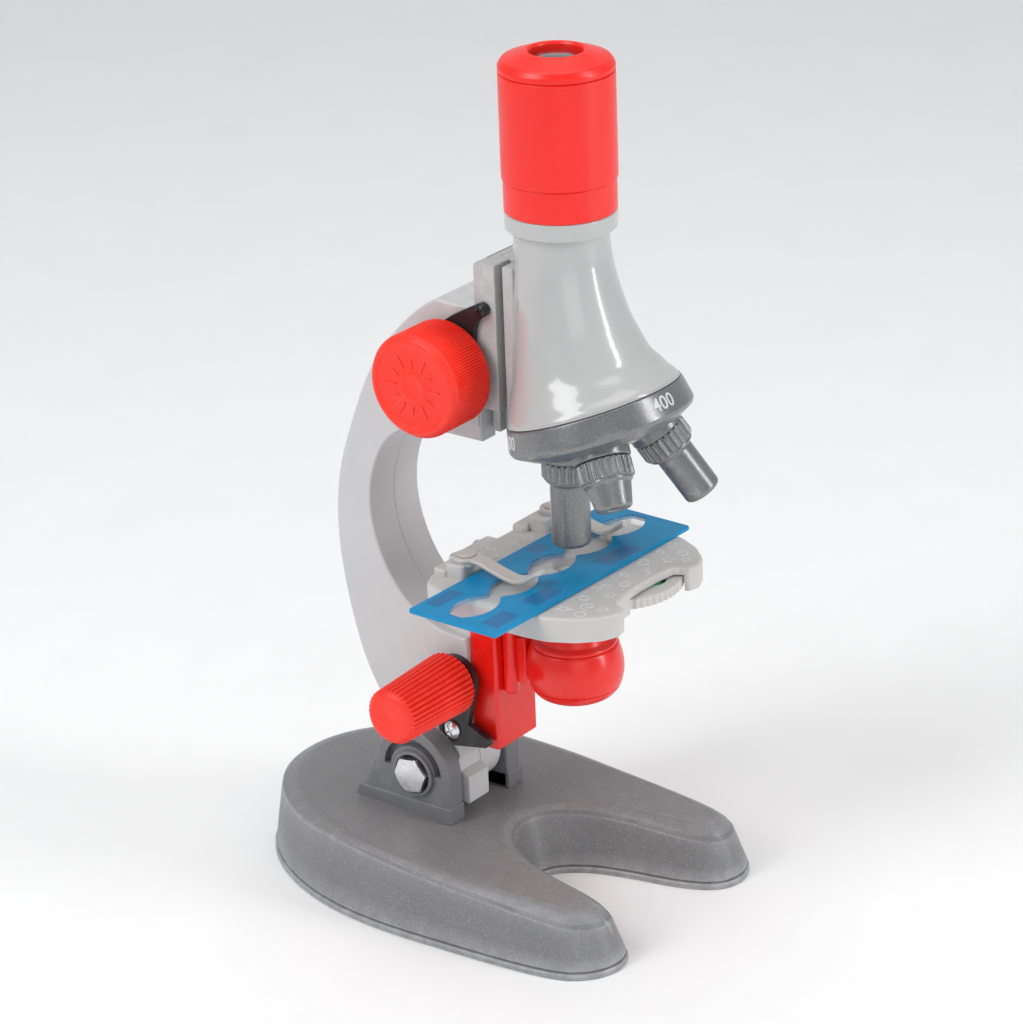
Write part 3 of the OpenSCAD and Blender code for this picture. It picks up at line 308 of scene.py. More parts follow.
def fillet(points, radii, steps=5, closed=True):
    """Round the corners of an outline; radii is one value, or one per corner."""
    points = [np.array(p, float) for p in points]
    count = len(points)
    if isinstance(radii, (int, float)):
        radii = [radii] * count
    out = []
    for i, corner in enumerate(points):
        if radii[i] <= 0 or (not closed and i in (0, count - 1)):
            out.append(corner)
            continue
        back, ahead = points[i - 1] - corner, points[(i + 1) % count] - corner
        back_length, ahead_length = np.linalg.norm(back), np.linalg.norm(ahead)
        back /= back_length
        ahead /= ahead_length
        angle = math.acos(np.clip(back @ ahead, -1, 1))
        if angle > math.radians(176):
            out.append(corner)
            continue
        setback = min(radii[i] / math.tan(angle / 2), back_length * 0.49, ahead_length * 0.49)
        radius = setback * math.tan(angle / 2)
        inward = (back + ahead) / np.linalg.norm(back + ahead)
        centre = corner + inward * (radius / math.sin(angle / 2))
        first = math.atan2(*(corner + back * setback - centre)[::-1])
        last = math.atan2(*(corner + ahead * setback - centre)[::-1])
        sweep = (last - first + math.pi) % (2 * math.pi) - math.pi
        for k in range(steps + 1):
            a = first + sweep * k / steps
            out.append(centre + radius * np.array([math.cos(a), math.sin(a)]))
    return [tuple(p) for p in out]


def catmull_rom(a, b, c, d, t):
    return 0.5 * (2 * b + (c - a) * t + (2 * a - 5 * b + 4 * c - d) * t * t
                  + (3 * b - 3 * c + d - a) * t ** 3)


def spline(points, steps, closed=False):
    points = np.array(points, float)
    count = len(points)

    def at(i):
        return points[i % count if closed else min(max(i, 0), count - 1)]
    out = [catmull_rom(at(i - 1), at(i), at(i + 1), at(i + 2), j / steps)
           for i in range(count if closed else count - 1) for j in range(steps)]
    return np.array(out if closed else out + [points[-1]])


def left_normals(points, closed=False):
    """Unit normals to the left of the direction of travel."""
    points = np.array(points, float)
    if closed:
        tangents = np.roll(points, -1, 0) - np.roll(points, 1, 0)
    else:
        tangents = np.gradient(points, axis=0)
    tangents /= np.linalg.norm(tangents, axis=1)[:, None]
    return np.stack([-tangents[:, 1], tangents[:, 0]], 1)


# ===================================================================== placing
def shift(x=0, y=0, z=0):
    return Matrix.Translation((x, y, z))


def turn(axis, degrees):
    return Matrix.Rotation(math.radians(degrees), 4, axis)


def sideways(side, x, z, out=0):
    """Frame whose local z points away from the arm on one side, out from the mid-plane."""
    return shift(x, side * out, z) @ turn("X", -90 * side)


def span(side, inner, outer):
    """Range of y between two distances from the mid-plane, on one side."""
    return sorted((side * inner, side * outer))


# ===================================================================== meshes
def bake(ob):
    """Apply an object's modifiers."""
    graph = bpy.context.evaluated_depsgraph_get()
    graph.update()
    mesh = bpy.data.meshes.new_from_object(ob.evaluated_get(graph))
    ob.modifiers.clear()
    old = ob.data
    ob.data = mesh
    bpy.data.meshes.remove(old)
    return ob


def link_object(name, data):
    ob = bpy.data.objects.new(name, data)
    scene.collection.objects.link(ob)
    return ob


def build(vertices, faces, material=None, place=None, name="part"):
    mesh = bpy.data.meshes.new(name)
    if place is not None:
        vertices = [place @ Vector(v) for v in vertices]
    mesh.from_pydata([tuple(float(c) * MM for c in v) for v in vertices], [],
                     [list(map(int, f)) for f in faces])
    bm = bmesh.new()
    bm.from_mesh(mesh)
    bmesh.ops.remove_doubles(bm, verts=bm.verts, dist=1e-7)
    bmesh.ops.dissolve_degenerate(bm, edges=bm.edges, dist=1e-8)
    bmesh.ops.recalc_face_normals(bm, faces=bm.faces)
    bm.to_mesh(mesh)
    bm.free()
    mesh.update()
    ob = link_object(name, mesh)
    if material is not None:
        mesh.materials.append(materials[material])
    return ob


def lathe(profile, material=None, place=None, segments=96, wave=None, name="part"):
    """Turn a closed profile of (r, z) or (r, z, share of the wave) about local z."""
    vertices, faces = [], []
    count = len(profile)
    for i in range(segments):
        angle = 2 * math.pi * i / segments
        ripple = wave(angle) if wave else 0
        for p in profile:
            r = p[0] + (p[2] * ripple if len(p) > 2 else 0)
            vertices.append(Vector((r * math.cos(angle), r * math.sin(angle), p[1])))
    for i in range(segments):
        j = (i + 1) % segments
        for k in range(count):
            following = (k + 1) % count
            faces.append((i * count + k, j * count + k,
                          j * count + following, i * count + following))
    return build(vertices, faces, material, place, name)


def prism(outline, start, end, material=None, axis="y", place=None, name="part"):
    """Extrude along axis; the outline is (y, z) for x, (x, z) for y and (x, y) for z."""
    def at(p, t):
        return {"y": (p[0], t, p[1]), "x": (t, p[0], p[1]), "z": (p[0], p[1], t)}[axis]
    n = len(outline)
    vertices = [at(p, start) for p in outline] + [at(p, end) for p in outline]
    faces = [list(range(n))[::-1], list(range(n, 2 * n))]
    faces += [(i, (i + 1) % n, n + (i + 1) % n, n + i) for i in range(n)]
    return build(vertices, faces, material, place, name)


def box(low, high, material=None):
    return prism(rect(*low[:2], *high[:2]), low[2], high[2], material, "z")


def rod(axis, centre, radius, start, end, material=None, segments=64, place=None):
    """Cylinder along axis; centre is in the other two coordinates."""
    circle = [(centre[0] + radius * math.cos(2 * math.pi * i / segments),
               centre[1] + radius * math.sin(2 * math.pi * i / segments))
              for i in range(segments)]
    return prism(circle, start, end, material, axis, place)


def bore(centre, radius, segments=64):
    """Cutter along y right through the microscope at (x, z)."""
    return rod("y", centre, radius, -20, 20, segments=segments)


def loft(rings, material=None, caps=(True, True), closed=False, name="part"):
    """Skin over rings of equal point count; closed joins the last ring to the first."""
    count, levels = len(rings[0]), len(rings)
    vertices = [p for ring in rings for p in ring]
    faces = []
    for j in range(levels if closed else levels - 1):
        above = (j + 1) % levels
        for i in range(count):
            k = (i + 1) % count
            faces.append((j * count + i, j * count + k, above * count + k, above * count + i))
    if not closed:
        if caps[0]:
            faces.append(list(range(count)))
        if caps[1]:
            faces.append([(levels - 1) * count + i for i in range(count)])
    return build(vertices, faces, material, name=name)


def cut(ob, *cutters, operation="DIFFERENCE"):
    for cutter in cutters:
        modifier = ob.modifiers.new("cut", "BOOLEAN")
        modifier.operation = operation
        modifier.object = cutter
        modifier.solver = "EXACT"
    bake(ob)
    for cutter in cutters:
        bpy.data.objects.remove(cutter, do_unlink=True)
    return ob


def bevel(ob, width, segments=3, angle=35):
    modifier = ob.modifiers.new("bevel", "BEVEL")
    modifier.width = width * MM
    modifier.segments = segments
    modifier.limit_method = "ANGLE"
    modifier.angle_limit = math.radians(angle)
    modifier.use_clamp_overlap = True
    modifier.miter_outer = "MITER_ARC"
    return bake(ob)


def bevel_levels(ob, axis, *levels):
    """Bevel the edges that lie at each (coordinate along axis, width, segments)."""
    bm = bmesh.new()
    bm.from_mesh(ob.data)
    for level, width, segments in levels:
        edges = [e for e in bm.edges
                 if all(abs(v.co[axis] - level * MM) < 0.01 * MM for v in e.verts)]
        bmesh.ops.bevel(bm, geom=edges, offset=width * MM, segments=segments,
                        affect="EDGES", profile=0.5, clamp_overlap=True)
    bm.to_mesh(ob.data)
    bm.free()


def join(name, *obs):
    """Merge several closed shells into one object."""
    bm = bmesh.new()
    slots = []
    for ob in obs:
        first = len(bm.faces)
        bm.from_mesh(ob.data)
        bm.faces.ensure_lookup_table()
        own = list(ob.data.materials)
        slots += [m for m in own if m not in slots]
        for face in bm.faces[first:]:
            face.material_index = slots.index(own[face.material_index])
    mesh = bpy.data.meshes.new(name)
    bm.to_mesh(mesh)
    bm.free()
    for material in slots:
        mesh.materials.append(material)
    joined = link_object(name, mesh)
    for ob in obs:
        bpy.data.objects.remove(ob, do_unlink=True)
    return joined


def finish(ob, body, replaces=None, sharp=34, weighted=True):
    ob.data.shade_smooth()
    ob.data.set_sharp_from_angle(angle=math.radians(sharp))
    if weighted:
        modifier = ob.modifiers.new("wn", "WEIGHTED_NORMAL")
        modifier.keep_sharp = True
        modifier.weight = 60
    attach(ob, body)
    if replaces:
        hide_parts(replaces)


def screw_head(place, radius, height, material="steel", angle=20):
    """Pan head from local z = 0 up to height, with a cross recess."""
    profile = fillet([(0, 0), (radius, 0), (radius, height * 0.45),
                      (radius * 0.6, height * 0.9475), (0, height)],
                     [0, 0.05, radius * 0.25, radius * 0.5, 0], 4, False)
    head = lathe(profile, material, place, 48)
    bar = rect(-radius * 0.6, -radius * 0.10, radius * 0.6, radius * 0.10)
    turned = place @ turn("Z", angle)
    return cut(head, *[prism(bar, height * 0.42, height * 2, None, "z",
                             turned @ turn("Z", 90 * i)) for i in range(2)])


def screw(place, radius, height, shank_radius, shank_length, angle, material="steel"):
    return [screw_head(place, radius, height, material, angle),
            rod("z", (0, 0), shank_radius, -shank_length, 0, "steel", 24, place)]


def tapered_link(start, start_radius, end, end_radius, y0, y1, material):
    """Plate round two circles in the xz plane and their common tangents."""
    start, end = np.array(start, float), np.array(end, float)
    way = end - start
    heading = math.atan2(way[1], way[0])
    tangent = math.acos((start_radius - end_radius) / np.linalg.norm(way))
    outline = []
    for centre, radius, first, last, count in (
            (start, start_radius, heading + tangent, heading + 2 * math.pi - tangent, 72),
            (end, end_radius, heading - tangent, heading + tangent, 24)):
        outline += [tuple(centre + radius * np.array([math.cos(t), math.sin(t)]))
                    for t in np.linspace(first, last, count)]
    return prism(outline, y0, y1, material, "y")


# ===================================================================== base
# Half outline of the base, (x, y)
BASE_HALF = [(-49.3, 0)]
BASE_HALF += [(11.3 + 60.6 * math.cos(math.radians(t)), 41 * math.sin(math.radians(t)))
              for t in (165, 150, 135, 120, 105)]
BASE_HALF += [(11.3, 41), (26, 40.7), (42, 40), (55, 38.7), (63.2, 36.4), (68.1, 31.6),
              (69.7, 25.8), (68, 20.5), (63.3, 17.1), (56, 14.8), (46, 12.9), (37.5, 10.7),
              (31.2, 7.5), (27.6, 3.9), (26.4, 0)]
BASE_LOOP = spline(mirrored(BASE_HALF), 2, closed=True)
BASE_NORMALS = left_normals(BASE_LOOP, closed=True)
COVER_SCREWS = [(-36, 0), (20, 33), (20, -33), (60, 27), (60, -27)]


def base_outline(inset):
    """Outline moved in by one distance, or by a column of distances."""
    return spline(BASE_LOOP - inset * BASE_NORMALS, 4, closed=True)


def base_ring(inset, z):
    return [(x, y, z) for x, y in base_outline(inset)]


def smoothstep(x, start, end):
    t = min(1, max(0, (x - start) / (end - start)))
    return t * t * (3 - 2 * t)


def base_top(x):
    return 19.6 - 0.045 * (x + 40)


def base_profile(x):
    """(inset, height) from the lower rim over the shoulder to the top, at one x."""
    inset = 2.3 + 1.9 * smoothstep(x, -30, 8) - 0.8 * smoothstep(x, 42, 66)
    shoulder = min(17.5, 16.9 - 0.08 * (x + 3))
    top = base_top(x)
    rise = shoulder - 1.6
    slope = 7.5 - inset
    return [(0.55, 1.61), (0.45, 1.85), (0.14, 2.2), (0.20, 2.8),
            (0.33 * inset, 1.6 + 0.36 * rise),
            (0.66 * inset, 1.6 + 0.68 * rise),
            (0.93 * inset, 1.6 + 0.935 * rise),
            (inset + 0.02, shoulder - 0.22),
            (inset + 0.22, shoulder - 0.02),
            (inset + 0.60, shoulder + 0.20),
            (inset + 0.25 * slope, 0.72 * shoulder + 0.28 * top + 0.12),
            (inset + 0.62 * slope, 0.34 * shoulder + 0.66 * top + 0.14),
            (inset + 0.88 * slope, 0.10 * shoulder + 0.90 * top - 0.02),
            (7.6, top - 0.05), (8.2, top)]


def make_housing():
    rings = []
    for level in range(len(base_profile(0))):
        insets = np.array([base_profile(x)[level][0] for x, y in BASE_LOOP])[:, None]
        rings.append([(x, y, base_profile(x)[level][1]) for x, y in base_outline(insets)])
    # This piece holds the name while the joined object is made, which so gets ".001".
    outside = loft(rings, "base_grey", caps=(False, True), name="base_housing")
    inner = [base_ring(inset, z)
             for inset, z in ((0.9, 1.61), (3.0, 7.0), (4.3, 10.6), (6.8, 12.6))]
    inner.append([(x, y, base_top(x) - 2.2) for x, y in base_outline(8.4)])
    hollow = loft(inner, "base_grey", caps=(False, True))
    rim = loft([rings[0], inner[0]], "base_grey", caps=(False, False))
    housing = join("base_housing", outside, rim, hollow)
    bm = bmesh.new()
    bm.from_mesh(housing.data)
    bmesh.ops.remove_doubles(bm, verts=bm.verts, dist=2e-6)
    bmesh.ops.recalc_face_normals(bm, faces=bm.faces)
    bm.to_mesh(housing.data)
    bm.free()
    return housing


def make_ear(side, label):
    """Triangular cheek with a round top, a foot and a ring round the hinge."""
    def seat():
        return rod("y", HINGE, 5.1, *span(side, 13.4, 18))
    outline = [(10.7, 17.1)] + arc((-0.8, HINGE[1]), 11.5, 40, 0, 159.7)
    outline += [(-18.2, 18), (-18.4, 17.1)]
    cheek = bevel(prism(outline, *span(side, 9, 14.4), "ear_grey"), 0.85, 4, 30)
    foot = bevel(prism([(11.1, 17.1), (11.1, 21.8), (-17.6, 21.8), (-19.4, 17.1)],
                       *span(side, 9, 15), "ear_grey"), 0.6, 4, 30)
    boss = lathe(fillet([(5.1, 12.5), (6.0, 12.5), (6.0, 15.6), (5.1, 15.6)],
                        [0, 0, 0.35, 0.3], 4), "ear_grey", sideways(side, *HINGE), 72)
    pocket_centre = (-0.6, HINGE[1])
    pocket = prism(arc(pocket_centre, 8.9, 48, 3, 177) + arc(pocket_centre, 6.9, 48, 3, 177)[::-1],
                   *span(side, 12.4, 16))
    cut(cheek, pocket, seat(), bore(HINGE, 3.06))
    cut(foot, seat())
    finish(join("base_ear_" + label, cheek, foot, boss), "base")


def make_bottom_cover():
    # Rolled lip of the cover, (inset, z)
    lip = [(0.45, 0.0), (-0.10, 0.05), (-0.37, 0.38), (-0.40, 0.8), (-0.37, 1.22),
           (-0.12, 1.55), (0.5, 1.62), (2.4, 1.62)]
    plate = loft([base_ring(inset, z) for inset, z in lip], "base_grey",
                 name="base_bottom_plate")
    cutters = [bevel(box((-30, -29.5, -1), (8, 29.5, 3)), 0.6, 2),     # door opening
               box((7.5, -4.2, -1), (13.6, 4.2, 0.85)),                # recess beside the door
               rod("z", (10.6, 0), 1.05, -1, 4, segments=32)]
    for spot in COVER_SCREWS:
        cutters += [rod("z", spot, 1.35, -1, 4, segments=32),
                    rod("z", spot, 2.9, -1, 0.9, segments=40)]
    cut(plate, *cutters)
    posts = [lathe([(1.25, 1.6), (3.0, 1.6), (3.0, 12.9), (1.25, 12.9)], "base_grey",
                   shift(*spot), 32) for spot in COVER_SCREWS]
    finish(plate, "base", "base_plate")
    finish(join("base_posts", *posts), "base")
    heads = [screw_head(shift(*spot, 0.88) @ turn("X", 180), 2.5, 0.72)
             for spot in COVER_SCREWS]
    shanks = [rod("z", spot, 1.2, 0.8, 9.7, "steel", 24) for spot in COVER_SCREWS]
    finish(join("base_cover_screws", *heads, *shanks), "base", "base_screws")


def make_hinge_bolt():
    """Hexagon head on the near side and nut on the far side, both with turned chamfers."""
    hexagon = [polar((0, 0), 4.9, a) for a in range(0, 360, 60)]
    place = sideways(-1, *HINGE)
    head = prism(hexagon, 13.42, 16.65, "steel", "z", place @ turn("Z", 8))
    cut(head, lathe([(0, 13), (6.2, 13), (6.2, 15.9), (4.35, 16.65), (0, 16.66)],
                    None, place, 72), operation="INTERSECT")
    bevel(head, 0.14, 2, 25)
    shank = lathe([(0, -17), (2.6, -17), (3.0, -16.6), (3.0, 13.4), (0, 13.4)],
                  "steel", place, 48)
    finish(join("hinge_hex_bolt", head, shank), "base", "hinge_bolt", 30)
    place = sideways(1, *HINGE)
    nut = prism(hexagon, 13.46, 16.35, "steel", "z", place @ turn("Z", 17), "hexnut")
    cut(nut, lathe([(0, 13), (4.4, 13.4), (5.6, 14.0), (5.6, 15.7), (4.35, 16.4), (0, 16.41)],
                   None, place, 72), operation="INTERSECT")
    cut(nut, lathe([(0, 12), (3.05, 12), (3.05, 18), (0, 18)], None, place, 48))
    finish(bevel(nut, 0.12, 2, 25), "base", "hinge_nut", 30)


base_housing = make_housing()
for side, label in SIDES:
    make_ear(side, label)
finish(base_housing, "base", "base_shell", 40)
make_bottom_cover()
make_hinge_bolt()

# ===================================================================== arm
# Back and front curves of the arm, (x, z)
ARM_BACK = spline([
    (9, 154.2), (7.2, 153.2), (4.6, 151.5), (0.9, 148.4), (-3.2, 144.3), (-8.9, 137.6),
    (-14, 128.6), (-18.6, 117.6), (-22.4, 106.8), (-24.2, 98), (-24.8, 89), (-24.2, 79.5),
    (-22.4, 68.8), (-20, 59.3), (-17.4, 52.2), (-13.6, 45)], 7)
ARM_FRONT = spline([
    (13.9, 66.8), (5.5, 67.6), (-2.4, 71.6), (-7.6, 76.8), (-11.4, 83.6), (-13.6, 91),
    (-14, 98), (-12.8, 105), (-9.6, 112.2), (-5, 117), (1, 119.8), (6, 120.2)], 7)
ARM_OUTLINE = [(21.2, 154.2), *map(tuple, ARM_BACK), (-9, 32), (9, 32), (10.5, 37),
               (13.9, 42.5), *map(tuple, ARM_FRONT), (21.2, 120.2)]
ARM_WALL = 2.1
back_wall = ARM_BACK + ARM_WALL * left_normals(ARM_BACK)
front_wall = ARM_FRONT + ARM_WALL * left_normals(ARM_FRONT)
ARM_CAVITY = [(19.2, 152.0), (9.8, 152.0), *map(tuple, back_wall[8:-14]), (-8, 45),
              (2, 44.5), (11.8, 48), (11.8, 64.4), *map(tuple, front_wall[7:-7]),
              (19.2, 122.4)]
ARM_SCREWS = [(-19, 99), (-14.5, 66), (3.5, 131), (6.4, 147.2)]
HINGE_BORE, FOCUS_BORE, CARRIAGE_BORE = 3.06, 2.55, 2.05     # radii
SEAM = 0.03                                                  # half the gap between the halves


def screw_recess(spot):
    return rod("y", spot, 2.45, 7.8, 12, segments=40)


def make_arm_half(side, label):
    far = side > 0
    body = prism(ARM_OUTLINE, *span(side, SEAM, 9.5), "arm_grey")
    # wide rounding outside, hairline at the joint between the halves
    bevel_levels(body, 1, (side * 9.5, 1.0, 4), (side * SEAM, 0.18, 2))
    cutters = [prism(ARM_CAVITY, *span(side, -1, 7.7)),
               rod("y", HINGE, 16, *span(side, 8.15, 20), segments=96),
               bore(HINGE, HINGE_BORE), bore(FOCUS, FOCUS_BORE),
               bore(CARRIAGE, CARRIAGE_BORE),
               box((18.6, -3.9, 118), (21.6, 3.9, 153.2)),
               rod("y", FOCUS, 7.1, -3.2, 3.2), rod("y", CARRIAGE, 7.1, -3.2, 3.2)]
    if far:
        cutters += [screw_recess(spot) for spot in ARM_SCREWS]
    cut(body, *cutters)
    # hub between the ears
    hub = prism(arc(HINGE, 9.6, 72), *span(side, SEAM, 8.2), "arm_grey")
    cut(bevel(hub, 0.3, 2, 50), bore(HINGE, HINGE_BORE))
    # neck under the stage and the pad behind the focus knob
    neck = prism([(5.5, 64), (13.9, 64), (13.9, 75.5), (14.4, 75.5), (14.4, 86.9),
                  (8.4, 86.9), (8.4, 76)], *span(side, 0, 7.5), "arm_grey")
    bevel(neck, 0.5, 3, 30)
    pad = prism(fillet(rect(11.5, 124, 20.9, 154.2), 0.6, 3), *span(side, 8.8, 10), "arm_grey")
    cut(bevel(pad, 0.45, 3, 40), bore(FOCUS, FOCUS_BORE))
    parts = [body, hub, neck, pad]
    for centre, radius, shaft, shaft_radius in (
            (FOCUS, 4.6, FOCUS, FOCUS_BORE),
            ((CARRIAGE[0] - 1, CARRIAGE[1]), 3.4, CARRIAGE, CARRIAGE_BORE)):
        boss = rod("y", centre, radius, *span(side, 3.3, 8.5), "arm_grey", 48)
        parts.append(cut(boss, bore(shaft, shaft_radius)))
    for spot in ARM_SCREWS:
        post = rod("y", spot, 2.9, *span(side, SEAM, 8.5), "arm_grey", 32)
        cutters = [rod("y", spot, 1.1, -6.4, 8, segments=24)]
        if far:
            cutters.append(screw_recess(spot))
        parts.append(cut(post, *cutters))
    low, high = span(side, 3.4, 6)
    parts.append(bevel(box((13, low, 40), (18.4, high, 73.6), "arm_grey"), 0.3, 2))  # rail
    if not far:
        block = prism(fillet([(6, 26), (6, 21.4), (11.6, 20.6), (12.2, 21.2), (12.2, 28),
                              (9, 29.5)], 0.4, 3), -8.1, -0.4, "arm_grey")
        parts.append(bevel(block, 0.35, 3))
    finish(join("arm_half_" + label, *parts), "arm", "arm_" + label)


def make_focus_guide():
    """Channel on the arm for the tube's rail."""
    guide = prism(fillet(rect(21.2, 129.4, 27.4, 166.1), [0.3, 0.3, 0.4, 1.2], 5), -10, 10,
                  "guide_grey", name="focus_guide_body")
    bevel(guide, 0.5, 4, 50)
    cut(guide, box((22, -6, 128), (24.4, 6, 170)), box((24.2, -4, 128), (30, 4, 170)),
        box((20, -3.9, 128), (22.2, 3.9, 153.2)))
    finish(guide, "arm", "focus_guide")


# Screws that hold the knob retainers, (x, z)
FOCUS_SCREW = (24.3, 154.9)
CARRIAGE_SCREW = (10, 42.1)


def make_focus_retainers():
    outline = arc(FOCUS, 8.4, 60, 34.8, -240)
    outline += map(tuple, spline([(10.2, 145.5), (11.2, 148.4), (14, 151), (18.5, 153.8),
                                  (23.4, 156.4)], 6)[1:])
    outline += arc(FOCUS_SCREW, 1.8, 14, 112, -38)
    outline += map(tuple, spline([(23.8, 152.6), (22.5, 150.7), (21.9, 148),
                                  (21.35, 143.1)], 6)[:-1])
    plates = []
    for side in (-1, 1):
        plate = bevel(prism(outline, *span(side, 10.05, 11.6), "black"), 0.3, 3, 50)
        plates.append(cut(plate, bore(FOCUS, 2.75), bore(FOCUS_SCREW, 0.95, 24)))
    finish(join("focus_knob_retainers", *plates), "arm", "focus_retainers")


def make_carriage_retainers():
    plates = []
    for side, tip, tip_radius in ((-1, (19.7, 41), 1.4), (1, (14.4, 41.6), 2.2)):
        low, high = span(side, 9.55, 11.3)
        plate = tapered_link(CARRIAGE, 6.2, CARRIAGE_SCREW, 4.2, low, high, "black")
        tail = tapered_link(CARRIAGE_SCREW, 4.2, tip, tip_radius, low, high, "black")
        bevel(cut(plate, tail, operation="UNION"), 0.35, 3, 45)
        # sunk flat round the screw
        dish = lathe([(0, 0), (3.1, 0), (3.1, 3), (0, 3)], None,
                     sideways(side, *CARRIAGE_SCREW, 11.0), 40)
        plates.append(cut(plate, bore(CARRIAGE, 2.25), bore(CARRIAGE_SCREW, 1.25, 24),
                          bore(HINGE, 13.4, 96), dish))
    finish(join("carriage_knob_retainers", *plates), "arm",
           "carriage_retainers")


for side, label in SIDES:
    make_arm_half(side, label)
screws = []
for i, spot in enumerate(ARM_SCREWS):
    screws += screw(sideways(1, *spot, 7.8), 2.4, 1.5, 1.08, 14, angle=15 + 37 * i)
finish(join("arm_cross_screws", *screws), "arm", "arm_screws")
make_focus_guide()
make_focus_retainers()
make_carriage_retainers()
screws = []
for side in (-1, 1):
    screws += screw(sideways(side, *CARRIAGE_SCREW, 11.02), 2.4, 1.35, 1.08, 5.5, angle=30)
    screws += screw(sideways(side, *FOCUS_SCREW, 11.62), 1.5, 0.8, 0.88, 4.6, angle=12,
                    material="black")
finish(join("retainer_cross_screws", *screws), "arm", "retainer_screws")

# ===================================================================== stage
# Half outline of the stage, (x, y, corner radius)
STAGE_HALF = [
    (14.4, 0, 0), (14.4, 12, 0), (14.4, 22.5, 2.5), (16.6, 27, 4), (22, 28.7, 6),
    (34, 28.7, 0), (46, 28.7, 8), (53, 28, 8), (59.2, 25, 8), (63.8, 20.8, 5),
    (65.5, 16.8, 2.4), (64.9, 13.4, 0.8), (62.5, 12.7, 0.8), (61.2, 11.5, 1.0),
    (60.5, 6, 3), (60.3, 0, 0)]
STAGE_BOTTOM, STAGE_CEILING = 82.9, 87.1     # lower rim, underside of the top skin


def make_stage():
    table = np.array(mirrored(STAGE_HALF))
    outline = table[:, :2]
    plate = prism(fillet(outline, table[:, 2], 6), STAGE_BOTTOM, STAGE_TOP, "stage_grey", "z")
    bevel_levels(plate, 2, (STAGE_TOP, 1.1, 5), (STAGE_BOTTOM, 0.25, 2))
    inside = outline - 1.8 * left_normals(outline, closed=True)
    under = prism([tuple(p) for p in inside], 80, STAGE_CEILING, None, "z")
    cut(under, box((13, -9, 79), (19.6, 9, 90)))
    cut(plate, under, rod("z", WHEEL, 17.4, 80, STAGE_CEILING, segments=96),
        box((40, -9.5, 80), (60.2, 9.5, STAGE_CEILING)), rod("z", (OPTIC_X, 0), 5, 78, 98),
        rod("z", WHEEL, 1.55, 78, 88.5, segments=32))
    parts = [plate]
    for side in (-1, 1):
        pivot = (CLIP_X, side * CLIP_Y)
        block = prism(fillet(rect(17.8, side * 11.6, 23.4, side * 21.4)[::side], 1.2, 4),
                      88.1, 92.7, "stage_grey", "z")
        cut(bevel(block, 0.55, 4, 50), rod("z", pivot, 1.55, 80, 99, segments=32))
        boss = lathe(fillet([(1.52, 92.0), (3.0, 92.0), (3.0, 93.03), (1.52, 93.03)],
                            [0, 0, 0.25, 0], 3), "stage_grey", shift(*pivot), 48)
        # low step beside the block
        step = prism(fillet(rect(14.9, side * 9.0, 18.6, side * 22.0)[::side], 0.8, 3),
                     88.3, 90.9, "stage_grey", "z")
        parts += [block, boss, bevel(step, 0.6, 3, 50)]
    finish(join("stage_top_plate", *parts), "arm", "stage_plate")


# Places for doodles on the stage, (x, y, shape); a blank keeps its place empty
DOODLES = [
    (52.2, -21.5, "star"), (56.5, -17.5, "swirl"), (52.8, -14.0, "ring"),
    (57.2, -9.5, "star"), (52.4, -6.5, "wave"), (56.3, -2.5, "ring"), (53.0, 2.0, "star"),
    (56.6, 6.5, "wave"), (52.4, 10.0, "swirl"), (57.0, 14.5, "star"), (52.6, 17.5, "ring"),
    (57.6, 19.6, "ring"), (52.2, 22.8, "star"), (60.4, 17.0, "star"),
    (60.6, -17.0, "star"), (57.4, -22.0, "ring"), (17.4, -2.5, "wave"),
    (20.6, 2.5, "star"), (20.8, -6.0, "ring"), (21.2, 7.6, "ring"), (27.0, 25.2, "blank"),
    (46.5, 25.8, "wave"), (47.5, -25.8, "blank")]


def ribbon(points, width=0.28, height=0.13, closed=False):
    """Low rounded line along a path on the stage."""
    section = [(-width / 2, -0.05), (-width * 0.42, height * 0.8), (0, height),
               (width * 0.42, height * 0.8), (width / 2, -0.05)]
    rings = [[(p[0] + n[0] * a, p[1] + n[1] * a, STAGE_TOP - 0.02 + b) for a, b in section]
             for p, n in zip(np.array(points, float), left_normals(points, closed))]
    return loft(rings + ([rings[0]] if closed else []), "print_white",
                caps=(not closed, not closed))


def star(centre, radius, angle):
    return [polar(centre, radius * (1 if i % 2 == 0 else 0.45), angle + 36 * i)
            for i in range(10)]


def stroke(x, y, angle, ts, amplitude=0.0):
    """Points along a straight or wavy line through (x, y)."""
    c, s = math.cos(angle), math.sin(angle)
    return [(x + t * c - amplitude * math.sin(t * 2.4) * s,
             y + t * s + amplitude * math.sin(t * 2.4) * c) for t in ts]


